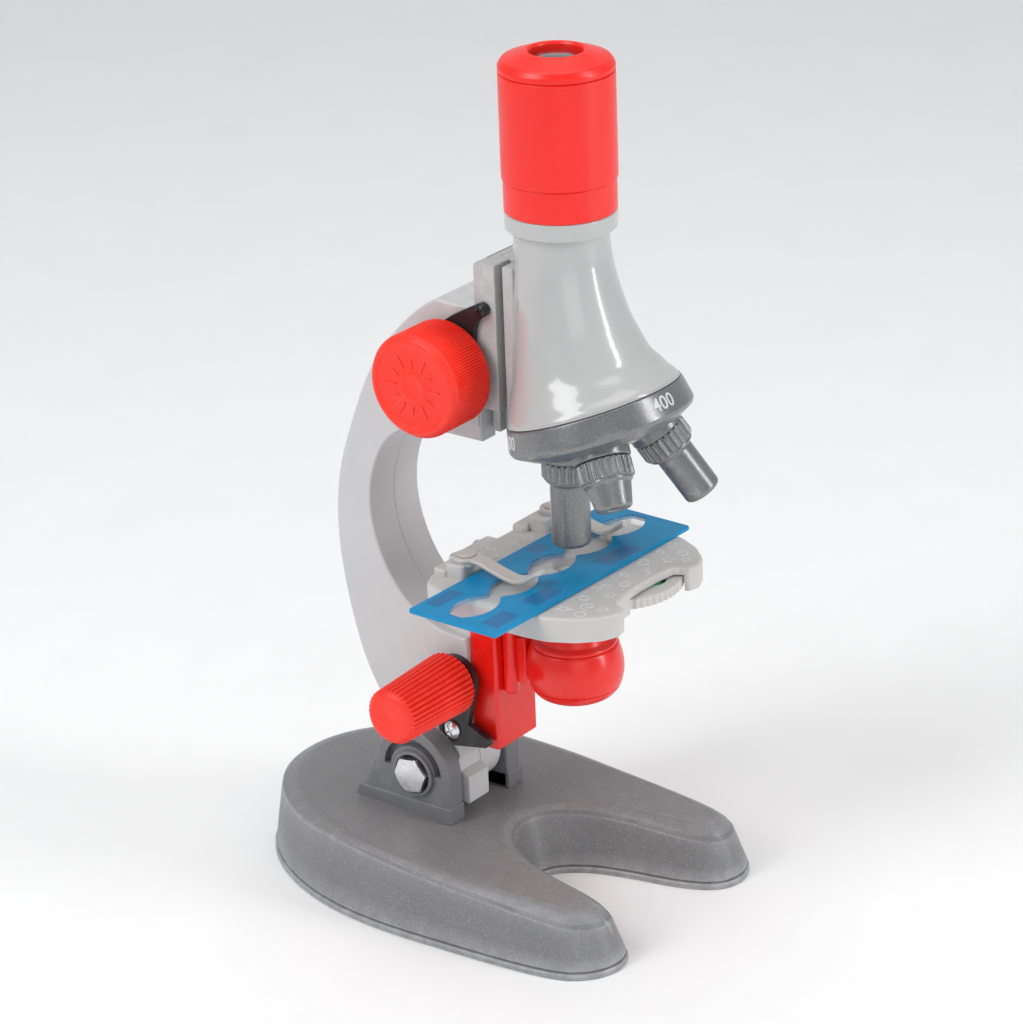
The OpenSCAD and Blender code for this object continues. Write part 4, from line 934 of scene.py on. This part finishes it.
def make_doodles():
    rng = random.Random(5)
    lines = []
    for x, y, shape in DOODLES:
        x += 0.9 if x > 50 else 0
        angle = rng.uniform(0, 360)      # degrees for stars, radians for swirls and waves
        if shape == "star":
            lines.append(ribbon(star((x, y), rng.uniform(1.5, 1.9), angle), 0.3, closed=True))
        elif shape == "ring":
            lines.append(ribbon(arc((x, y), rng.uniform(0.8, 1.4), 24), closed=True))
        elif shape == "swirl":
            lines.append(ribbon([(x + (0.35 + 0.22 * t) * math.cos(t + angle),
                                  y + (0.35 + 0.22 * t) * math.sin(t + angle))
                                 for t in np.linspace(0, 8, 40)]))
        elif shape == "wave":
            lines.append(ribbon(stroke(x, y, angle, np.linspace(-2.3, 2.3, 40), 0.6)))
    for _ in range(26):                  # short strokes between them
        x, y = rng.uniform(50.8, 60.5), rng.uniform(-23.5, 23.5)
        angle = rng.uniform(0, math.pi)
        crowded = min(math.hypot(x - p[0], y - p[1]) for p in DOODLES) < 2.6
        off_corner = x > 57 and abs(y) >= 21.5
        off_front = x > 58 and abs(y) < 14.5
        if not (crowded or off_corner or off_front):
            lines.append(ribbon(stroke(x, y, angle, np.linspace(-0.8, 0.8, 6)), 0.26, 0.12))
    finish(join("stage_doodles", *lines), "arm", sharp=60, weighted=False)


# Centre line of a clip, (distance from the pivot, z)
CLIP_PATH = spline([(0, 93.65), (2, 93.65), (5, 93.4), (9, 92.2), (12.5, 91.35),
                    (15.4, 91.1), (18.2, 92), (20.6, 93.6), (22.4, 94.9)], 7)


def make_clip(side, label):
    """Bent spring strip that narrows to a round tip, with a disc at the pivot."""
    section = fillet(rect(-2.1, -0.55, 2.1, 0.55), 0.4, 4)
    last = len(CLIP_PATH) - 1
    rings = []
    for i, (point, normal) in enumerate(zip(CLIP_PATH, left_normals(CLIP_PATH))):
        from_tip = min(1.0, (last - i) / 5.0)
        width = 0.35 + 0.65 * math.sqrt(1 - (1 - from_tip) ** 2)
        rings.append([(point[0] + normal[0] * b, a * width, point[1] + normal[1] * b)
                      for a, b in section])
    strip = loft(rings, "clip_grey")
    disc = lathe(fillet([(1.56, 93.12), (3.4, 93.12), (3.4, 94.1), (1.56, 94.1)],
                        [0, 0.35, 0.4, 0.2], 4), "clip_grey", None, 64)
    cut(strip, rod("z", (0, 0), 2.6, 80, 99))
    clip = join("stage_clip_" + label, strip, disc)
    clip.data.transform(shift(CLIP_X * MM, side * CLIP_Y * MM))
    finish(clip, label + "_clip", "clip_" + label, 40)


def make_filter_wheel():
    """Wheel with five holes and a rippled edge; the first hole lies on the optical axis."""
    wheel = lathe([(0.0, 83.7), (16.3, 83.7, 0.5), (16.75, 83.95, 1), (16.75, 86.35, 1),
                   (16.3, 86.6, 0.5), (0.0, 86.6)], "stage_grey", shift(*WHEEL), 480,
                  lambda t: 0.2 * math.cos(60 * t), "filter_disc")
    first = math.degrees(math.atan2(-WHEEL[1], OPTIC_X - WHEEL[0]))
    holes = [polar(WHEEL, 10, first + 72 * i) for i in range(5)]
    cut(wheel, rod("z", WHEEL, 1.56, 80, 90, segments=40),
        *[rod("z", hole, 3.4, 80, 90, segments=48) for hole in holes],
        *[rod("z", hole, 4.0, 84.9, 90, segments=48) for hole in holes[1:]])
    finish(wheel, "filters", "filter_wheel")


make_stage()
make_doodles()
for side, label in SIDES:
    make_clip(side, label)
pins = [lathe(fillet([(0, 89.15), (1.5, 89.15), (1.5, 94.2), (2.3, 94.2), (2.3, 94.6),
                      (1.2, 94.9), (0, 94.9)], [0, 0, 0, 0.1, 0.25, 0.3, 0], 3, False),
              "clip_grey", shift(CLIP_X, side * CLIP_Y), 48) for side in (-1, 1)]
finish(join("clip_pivot_pins", *pins), "arm", "clip_pins")
make_filter_wheel()

# ===================================================================== specimen slide
SLIDE_PLACE = shift(37.9, -5.2, STAGE_TOP) @ turn("Z", -1.5)
WINDOW_CENTRES = [-28, -13.5, 1, 15.5, 29]
# Raised print on the slide, (x0, y0, x1, y1)
SLIDE_PRINTS = [(6.2, -35, 11.2, -26.5), (6.2, -20, 11.0, -10), (6.6, 8, 11.4, 20),
                (-11.8, -33.5, -7.6, -24), (-11.6, 4, -7.8, 9)]


def window_outline(gap):
    """Strip along the slide that bulges at each window, shrunk by gap."""
    width, length, centre_x = 9.6, 16.5, -1
    radius = (length * length / 4 + width * width / 4) / width

    def half_width(y):
        half = 2.0
        for centre in WINDOW_CENTRES:
            t = y - centre
            if abs(t) < length / 2:
                half = max(half, math.sqrt(radius * radius - t * t) - (radius - width / 2))
        return half - gap
    ys = np.linspace(-35 + gap, 36 - gap, 120)
    return ([(centre_x + half_width(y), y) for y in ys]
            + [(centre_x - half_width(y), y) for y in ys[::-1]])


# This piece holds the name while the joined object is made, which so gets ".001".
slide = prism(fillet(rect(-13, -38, 13, 38), 0.5, 3), 0.01, 1.2, "slide_blue", "z",
              SLIDE_PLACE, "slide_plate")
bevel(slide, 0.28, 3, 50)
cut(slide, prism(window_outline(0), -1, 3, None, "z", SLIDE_PLACE))
prints = [prism(fillet(rect(*corners), 0.4, 3), 1.15, 1.215, "slide_print", "z", SLIDE_PLACE)
          for corners in SLIDE_PRINTS]
finish(join("slide_plate", slide, *prints), "slide", "slide_frame")
finish(prism(window_outline(0.04), 0.15, 1.05, "clear", "z", SLIDE_PLACE,
             "slide_clear_windows"), "slide", "slide_windows")

# ===================================================================== tube
AXIS = shift(OPTIC_X)
TURRET = shift(OPTIC_X, 0, 155) @ turn("Y", 160)     # local z points down and forward
# Sections down the bell, (x, z, radius, tilt in degrees)
BELL = spline([
    (40, 175.6, 11.3, 0), (40.05, 170, 11.5, 0.5), (40.5, 164.5, 12, 1.5),
    (41.2, 158.5, 12.9, 4), (42.3, 152, 14, 8), (43.4, 146.8, 15.4, 11), (44.6, 142, 16.8, 14),
    (45.8, 138.9, 18.4, 16.5), (46.7, 136.4, 19.7, 18), (47.45, 134.5, 20.9, 19.3),
    (47.9, 133.2, 21.3, 20)], 5)


def bell_ring(section, inset=0, down=0):
    x, z, radius, tilt = section
    radius, tilt = radius - inset, math.radians(tilt)
    x, z = x + down * math.sin(tilt), z - down * math.cos(tilt)
    return [(x + radius * math.cos(a) * math.cos(tilt), radius * math.sin(a),
             z + radius * math.cos(a) * math.sin(tilt))
            for a in (-2 * math.pi * i / 128 for i in range(128))]


def make_tube():
    rings = [bell_ring(section) for section in BELL[:-2]]
    rings += [bell_ring(BELL[-1], inset, down) for inset, down in (
        (0.0, -0.55), (0.03, -0.2), (0.22, 0.0), (0.9, 0.02), (1.75, 0.02), (2.0, -0.25))]
    # back up the inside; the wall is thicker above z = 157
    rings += [bell_ring(section, 2.0 + (0.9 if section[1] > 157 else 0))
              for section in BELL[-3:12:-3]]
    rings += [bell_ring((40, 176.0, radius, 0)) for radius in (8.6, 11.0)]
    barrel = loft(rings, "tube_grey", closed=True)
    collar = lathe(fillet([(10.0, 175.4), (13.3, 175.4), (13.3, 179.9), (12.6, 179.9),
                           (12.4, 179.4), (10.0, 179.4)], [0, 0.8, 0.35, 0.15, 0.15, 0], 5),
                   "tube_grey", AXIS, 128)
    low, high = 122.2, 166.0
    plate = prism(fillet(rect(29, -9.5, 32.4, 9.5), [0.8, 0, 0, 0.8], 4), low, high,
                  "guide_grey", "z")
    bevel(plate, 0.45, 3, 50)
    rail_neck = bevel(box((24.3, -3.9, low), (29.3, 3.9, high), "guide_grey"), 0.35, 3)
    rail_head = bevel(box((22.1, -5.9, low), (24.35, 5.9, high), "guide_grey"), 0.35, 3)
    for part in (plate, rail_neck, rail_head):       # room for the turret
        cut(part, lathe([(0, 22.8), (22.1, 22.8), (23.9, 32.4), (23.9, 44), (0, 44)],
                        None, TURRET, 96))
    cut(plate, lathe([(0, 120), (9.9, 120), (9.9, 180), (0, 180)], None, AXIS, 48))
    finish(join("tube_with_rail", barrel, collar, plate, rail_neck, rail_head), "tube",
           "tube_barrel")


make_tube()

# ===================================================================== turret
# Objectives: angle round the turret, tip height, upper and lower barrel radius
OBJECTIVES = {"long": (0, 59.9, 4.8, 4.75), "medium": (120, 56.5, 4.75, 4.65),
              "short": (240, 49.5, 5.3, 4.5)}


def objective_place(angle):
    return TURRET @ turn("Z", angle) @ turn("Y", 20)


def make_turret():
    profile = fillet(
        [(2.06, 24.95), (4.8, 24.95), (4.8, 31.9), (13, 31.3), (17.4, 30.2), (20.6, 27.8),
         (20.05, 23.9), (20.05, 23.3), (21.6, 23.3), (21.85, 24.2), (22.7, 28.2),
         (22.78, 28.9), (22.4, 29.9), (21.0, 30.75), (18.6, 32.05), (14, 33.45), (8, 34.4),
         (2.06, 34.6)],
        [0, 0, 0.3, 0, 0, 0.4, 0, 0.15, 0.3, 0.3, 0.6, 0.5, 0.7, 0.5, 1, 1, 1, 0], 4)
    boss = fillet([(4.2, 31.0), (7.4, 31.6), (6.95, 34.6), (6.9, 37.6), (4.2, 37.6)],
                  [0, 0, 1.5, 0.35, 0], 5)
    parts = [lathe(profile, "turret_grey", TURRET, 144)]
    parts += [lathe(boss, "turret_grey", objective_place(angle), 64)
              for angle in (0, 120, 240)]
    finish(join("turret_body", *parts), "turret", "turret_shell")


def ribbed(angle):
    """Ripple of 24 square-shouldered ribs."""
    c = math.cos(24 * angle)
    return 0.26 * math.copysign(abs(c) ** 0.5, c)


def make_objective(label, angle, tip, upper, lower):
    place = objective_place(angle)
    ring = lathe([(4.0, 37.66), (5.95, 37.66, 0), (6.35, 37.9, 0.5), (6.45, 38.2, 1),
                  (6.45, 42.0, 1), (6.3, 42.4, 0.6), (5.95, 42.65, 0), (4.0, 42.8)],
                 "turret_grey", place, 288, ribbed)
    profile = [(2.6, 33.0), (4.1, 33.0), (4.1, 42.6), (6.0, 42.6), (6.0, 43.05),
               (5.75, 43.35), (upper + 0.1, 43.75), (upper, 44.2), (lower + 0.02, tip - 1.0),
               (lower - 0.15, tip - 0.35), (lower - 0.6, tip), (2.0, tip),
               (1.6, tip - 0.35), (1.6, tip - 2.0), (2.6, tip - 2.0)]
    radii = [0, 0, 0, 0.1, 0.2, 0.2, 0.3, 0.4, 0.2, 0.3, 0.3, 0.2, 0, 0, 0]
    barrel = lathe(fillet(profile, radii, 4), "turret_grey", place, 96)
    finish(join("objective_" + label + "_v", ring, barrel), "turret",
           "objective_" + label, 30)


def numeral(text, angle):
    """Number wrapped on the turret's conical band, centred at an angle in degrees."""
    middle = 26.1                                 # along the turret axis
    raised, sunk = 0.18, -0.25                    # outer and inner face from the band
    curve = bpy.data.curves.new("numeral", "FONT")
    curve.body = text
    curve.size = 4.6
    curve.align_x = "CENTER"
    curve.align_y = "CENTER"
    curve.resolution_u = 4
    curve.offset = 0.02
    flat = link_object("numeral", curve)
    graph = bpy.context.evaluated_depsgraph_get()
    graph.update()
    bm = bmesh.new()
    bm.from_mesh(bpy.data.meshes.new_from_object(flat.evaluated_get(graph)))
    bpy.data.objects.remove(flat, do_unlink=True)
    bmesh.ops.triangulate(bm, faces=bm.faces)
    extruded = bmesh.ops.extrude_face_region(bm, geom=bm.faces[:])["geom"]
    outer = {v for v in extruded if isinstance(v, bmesh.types.BMVert)}
    for v in bm.verts:
        along = middle - v.co.y
        band = 21.6 + (along - 23.3) * (22.75 - 21.6) / (28.6 - 23.3)
        around = math.radians(angle) - v.co.x / band
        r = band + (raised if v in outer else sunk)
        v.co = (TURRET @ Vector((r * math.cos(around), r * math.sin(around), along))) * MM
    bmesh.ops.recalc_face_normals(bm, faces=bm.faces)
    mesh = bpy.data.meshes.new("numeral")
    bm.to_mesh(mesh)
    bm.free()
    mesh.materials.append(materials["numeral_white"])
    return link_object("numeral", mesh)


make_turret()
for label, sizes in OBJECTIVES.items():
    make_objective(label, *sizes)
numerals = [numeral(text, angle) for text, angle in (("400", -174), ("100", -54), ("200", 66))]
finish(join("turret_numerals", *numerals), "turret", sharp=40, weighted=False)

# ===================================================================== eyepiece
# Name, part it replaces, profile (r, z), corner radii, steps per corner
for name, replaced, profile, radii, steps in (
        ("eyepiece_lower_ring", "eyepiece_skirt", rect(10.0, 179.95, 13.3, 187.68),
         [0, 0.25, 0.25, 0], 3),
        ("eyepiece_grip", "eyepiece_sleeve", rect(12.05, 187.75, 13.65, 213.4),
         [0, 0.35, 0.28, 0], 4),
        ("eyepiece_top_cap", "eyepiece_cap",
         [(6.3, 210.0), (12.0, 210.0), (12.0, 213.2), (13.15, 213.2), (13.15, 213.62),
          (13.65, 213.75), (13.65, 214.9), (12.8, 216.3), (10.2, 217.15), (7.9, 218.05),
          (6.75, 218.3), (6.3, 217.6)],
         [0, 0, 0, 0, 0.1, 0.15, 1.2, 1.3, 1.6, 0.6, 0.35, 0.3], 6)):
    finish(lathe(fillet(profile, radii, steps), "red", AXIS, 144, name=name),
           "eyepiece", replaced)
finish(lathe([(0, 210.2), (9.4, 210.2), (9.4, 211.2), (6.1, 212.3), (6.1, 216.0),
              (5.2, 216.55), (3.0, 216.9), (0, 217.0)], "eye_glass", AXIS, 96,
             name="eye_glass_dome"), "eyepiece", "eye_lens", 50)

# ===================================================================== knobs
# Profiles along the shaft, (r, distance from the mid-plane, share of the ripple)
FOCUS_KNOB = [
    (4.6, 12.3), (11.9, 12.3, 0), (12.55, 12.5, 0.2), (12.8, 12.9, 1), (12.8, 24.5, 1),
    (12.72, 24.95, 0.5), (12.45, 25.35, 0), (12.1, 25.9, 0), (11.75, 26.15, 0),
    (11.3, 26.3, 0), (10.7, 26.25, 0), (10.35, 26.0, 0), (10.1, 25.92, 0), (3.6, 25.96, 0),
    (3.3, 26.1, 0), (2.9, 26.12, 0), (2.6, 25.98, 0), (0.0, 25.98, 0), (0.0, 12.6)]
CARRIAGE_KNOB = [
    (2.1, 12.0), (6.2, 12.0), (6.4, 12.2), (6.4, 13.0), (6.6, 13.02, 0), (7.5, 13.2, 0.4),
    (7.72, 13.6, 1), (6.86, 35.4, 1), (6.75, 35.8, 0.6), (6.55, 36.1, 0), (6.2, 36.5, 0),
    (5.7, 36.8, 0), (5.2, 36.9, 0), (4.4, 36.84, 0), (0.9, 36.8, 0), (0.6, 36.7, 0),
    (0.0, 36.7, 0), (0.0, 30.0, 0), (2.1, 30.0, 0)]


def focus_knob(side):
    """Hollow wheel with twelve raised rays, long and short in turn, on its face."""
    place = sideways(side, *FOCUS)
    wheel = lathe(FOCUS_KNOB, "red_knob", place, 720,
                  lambda t: 0.17 * ((math.cos(60 * t) ** 2) * 2 - 1))
    cut(wheel, lathe(rect(4.6, 12, 11.0, 23.4), None, place, 64),
        rod("z", (0, 0), 2.5, 10, 24, segments=40, place=place))
    parts = [wheel]
    start, width = 4.8, 0.38
    for i in range(12):
        end = 8.2 if i % 2 == 0 else 6.9
        ray = fillet([(start, -width * 0.7), (end, -width * 0.4), (end, width * 0.4),
                      (start, width * 0.7)], 0.2, 2)
        ray = prism(ray, 25.7, 26.16, "red_knob", "z", place @ turn("Z", 30 * i))
        parts.append(bevel(ray, 0.12, 2, 40))
    return parts


finish(join("focus_wheels", *focus_knob(-1), *focus_knob(1)), "focus_drive",
       "focus_knobs", 40)
knobs = [lathe(CARRIAGE_KNOB, "red_knob", sideways(side, *CARRIAGE), 432,
               lambda t: 0.27 * (1 - 2 * (0.5 - 0.5 * math.cos(36 * t)) ** 2.2))
         for side in (-1, 1)]
finish(join("carriage_wheels", *knobs), "carriage_drive", "carriage_knobs", 40)

# ===================================================================== lamp carriage
LAMP_Z = 62.5                       # height of the lamp's pivot, which runs along x


def rack_outline():
    """Rack of module 0.75 with 20 degree flanks, (x, z), teeth towards -x."""
    pitch = math.pi * 0.75
    half_tooth = pitch / 4 - 0.05
    slope = math.tan(math.radians(20))
    pitch_x, depth, height = 17.3, 0.85, 0.62
    root, tip, back = pitch_x + depth, pitch_x - height, 20
    middle = CARRIAGE[1]
    points = [(back, middle - 4 * pitch), (root, middle - 4 * pitch)]
    for i in range(-4, 7):
        z = middle + (i + 0.5) * pitch
        points += [(root, z - half_tooth - depth * slope),
                   (tip, z - half_tooth + height * slope),
                   (tip, z + half_tooth - height * slope),
                   (root, z + half_tooth + depth * slope)]
    return points + [(root, middle + 7 * pitch), (back, middle + 7 * pitch)]


def make_carriage():
    block = prism(fillet(rect(14.1, -7.9, 21.7, 7.9), [0.3, 0.9, 0.9, 0.3], 4), 38, 74,
                  "red_deep", "z")
    cut(bevel(block, 0.5, 4, 50), box((12, -6.1, 37), (19.9, 6.1, 75)))
    bracket = prism(fillet(rect(21.4, 56, 28.05, 68), [0, 1.0, 1.0, 0], 4), -4.2, 4.2,
                    "red_deep")
    parts = [block, bevel(bracket, 0.45, 4, 50)]
    parts += [lathe(fillet([(0, 53), (1.9, 53), (1.9, 70.5), (0, 70.5)], [0, 0.7, 0.7, 0],
                           5, False), "red_deep", shift(23.6, y), 40) for y in (-4.2, 4.2)]
    for part in parts:
        cut(part, rod("x", (0, LAMP_Z), 1.5, 21.8, 30, segments=40))
    parts.append(prism(rack_outline(), -2.9, 2.9, "red_deep"))
    finish(join("lamp_carriage_block", *parts), "lamp_carriage",
           "carriage_block")


def make_lamp():
    """Bowl with a hairline groove round it, a pivot boss, and the lid on top."""
    wall = spline([(8.0, 55.4), (9.6, 56.3), (10.9, 58), (11.7, 60.6), (11.9, 63.2),
                   (11.5, 66), (10.6, 69)], 6)
    bowl = [(6.6, 55.55), (7.0, 55.4), *map(tuple, wall[:-1]), (10.55, 68.9), (10.2, 69.05),
            (8.95, 69.0), (9.9, 66), (10.3, 63.2), (10.1, 60.6), (9.3, 58.6), (8.6, 57.4),
            (6.6, 57.4)]
    groove_z = 58.5
    grooved = []
    for a, b in zip(bowl, bowl[1:] + bowl[:1]):
        grooved.append(a)
        if a[1] < groove_z < b[1]:
            # height of each point across the groove, and its depth there
            for z, depth in ((58.3, 0), (58.42, 0.2), (58.58, 0.2), (58.7, 0)):
                if a[1] < z < b[1]:
                    r = a[0] + (b[0] - a[0]) * (z - a[1]) / (b[1] - a[1])
                    grooved.append((r - depth, z))
    shell = lathe(grooved, "red_deep", AXIS, 144)
    boss = lathe(fillet([(0, 28.15), (3.2, 28.15), (3.2, 31.3), (0, 31.3)], [0, 0.3, 0, 0],
                        3, False), "red_deep", shift(0, 0, LAMP_Z) @ turn("Y", 90), 48)
    for part in (shell, boss):
        cut(part, rod("x", (0, LAMP_Z), 1.55, 20, 36, segments=40))
    finish(join("lamp_bowl_shell", shell, boss), "lamp", "lamp_bowl")
    lid = fillet([(3.2, 66.6), (8.85, 66.6), (8.85, 69.05), (10.4, 69.05), (10.2, 69.9),
                  (8.6, 70.4), (7.2, 74), (6.8, 74.6), (5.6, 74.8), (5.2, 74.2), (5.2, 69),
                  (3.2, 68.2)], [0, 0, 0, 0.25, 0.4, 0.5, 0.5, 0.35, 0.35, 0.2, 0, 0], 4)
    finish(lathe(lid, "red_deep", AXIS, 128, name="lamp_top_lid"), "lamp",
           "lamp_lid")


make_carriage()
make_lamp()

# ===================================================================== CAD pieces kept
# Piece, material, bevel width
KEPT = [
    ("battery_door", "base_grey", 0.25), ("battery_door_screw", "steel", 0.08),
    ("battery_cells", "cell", 0.5), ("battery_contacts", "contact", 0.05),
    ("hinge_washers", "fibre", 0.08), ("lamp_cable", "cable", 0.2),
    ("stage_screws", "steel", 0.1), ("filter_pivot", "steel", 0.12),
    ("focus_rack", "gear_white", 0.06), ("nosepiece_plate", "black", 0.15),
    ("turret_pivot_screw", "steel", 0.15), ("turret_spring_washer", "steel", 0.12),
    ("eyepiece_drawtube", "dark_inner", 0.15), ("field_lens", "lens", 0.2),
    ("objective_lenses", "lens", 0.2), ("focus_shaft", "steel", 0.2),
    ("focus_pinion", "contact", 0.05), ("carriage_shaft", "steel", 0.2),
    ("carriage_pinion", "contact", 0.05), ("lamp_pivot", "steel", 0.15),
    ("lamp_led", "led", 0.1), ("lamp_mirror", "mirror", 0.15),
    ("filter_red", "film_red", 0.05), ("filter_green", "film_green", 0.05),
    ("filter_blue", "film_blue", 0.05), ("filter_yellow", "film_yellow", 0.05)]
for node, material, width in KEPT:
    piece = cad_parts[node]
    piece.data.materials.clear()
    piece.data.materials.append(materials[material])
    piece.data.shade_smooth()
    piece.data.set_sharp_from_angle(angle=math.radians(32))
    soft = piece.modifiers.new("soft_edges", "BEVEL")
    soft.width = width * MM
    soft.segments = 2
    soft.limit_method = "ANGLE"
    soft.angle_limit = math.radians(40)
    soft.use_clamp_overlap = True

# ===================================================================== floor, light, camera
# From here on sizes are in metres.
YAW, PITCH, ROLL = (math.radians(a) for a in (32.57, -20.93, 0.27))
CAMERA = (0.5772, -0.71355, 0.48322)


def make_floor():
    """Flat floor that curves up into a wall away from the camera."""
    # (distance from the origin, z)
    profile = [(-1.6, 0.0), (0.75, 0.0)]
    profile += [(0.75 + 0.9 * math.sin(t), 0.9 - 0.9 * math.cos(t))
                for t in np.linspace(0.05, math.pi / 2, 24)]
    profile.append((1.65, 2.2))
    # build() takes millimetres; the floor lies 0.02 mm below z = 0
    vertices = [((-math.sin(YAW) * away + math.cos(YAW) * across) * 1000,
                 (math.cos(YAW) * away + math.sin(YAW) * across) * 1000, z * 1000 - 0.02)
                for away, z in profile for across in (-2.6, 2.6)]
    faces = [(2 * i, 2 * i + 1, 2 * i + 3, 2 * i + 2) for i in range(len(profile) - 1)]
    floor = build(vertices, faces, "floor", name="floor_sweep")
    floor.data.shade_smooth()
    if floor.data.polygons[0].normal.z < 0:
        floor.data.flip_normals()


def area_light(name, right, forward, up, size, power):
    """Light aimed at the model; right, forward and up are as seen from the camera's side."""
    target = Vector((0.02, 0, 0.11))
    to_camera = Vector((*CAMERA[:2], 0)).normalized()
    location = (target + Vector((math.cos(YAW), math.sin(YAW), 0)) * right
                + to_camera * forward + Vector((0, 0, 1)) * up)
    light = bpy.data.lights.new(name, "AREA")
    light.shape = "RECTANGLE"
    light.size, light.size_y = size
    light.energy = power
    ob = link_object(name, light)
    ob.location = location
    ob.rotation_euler = (target - location).to_track_quat("-Z", "Y").to_euler()


def make_camera():
    data = bpy.data.cameras.new("camera")
    camera = link_object("camera", data)
    camera.location = CAMERA
    forward = Vector((-math.sin(YAW) * math.cos(PITCH), math.cos(YAW) * math.cos(PITCH),
                      math.sin(PITCH)))
    camera.rotation_mode = "QUATERNION"
    camera.rotation_quaternion = (forward.to_track_quat("-Z", "Y")
                                  @ Matrix.Rotation(-ROLL, 3, "Z").to_quaternion())
    data.sensor_width = 36
    data.sensor_fit = "AUTO"
    data.lens = 142.2
    data.shift_x = -0.3371
    data.shift_y = -0.1525
    data.clip_start = 0.01
    data.clip_end = 10
    scene.camera = camera


make_floor()
world = bpy.data.worlds.new("studio")
scene.world = world
world.use_nodes = True
background = world.node_tree.nodes["Background"]
background.inputs["Color"].default_value = (0.86, 0.88, 0.90, 1)
background.inputs["Strength"].default_value = 0.44
area_light("key_left", right=-0.75, forward=0.55, up=0.70, size=(0.45, 0.75), power=5.8)
area_light("strip_right", right=0.80, forward=0.25, up=0.35, size=(0.12, 0.8), power=3.4)
area_light("top_soft", right=0, forward=-0.1, up=1.1, size=(0.9, 0.9), power=4.6)
area_light("front_fill", right=0.2, forward=1.3, up=0.25, size=(0.8, 0.5), power=1.2)
make_camera()
scene.view_settings.view_transform = "Standard"
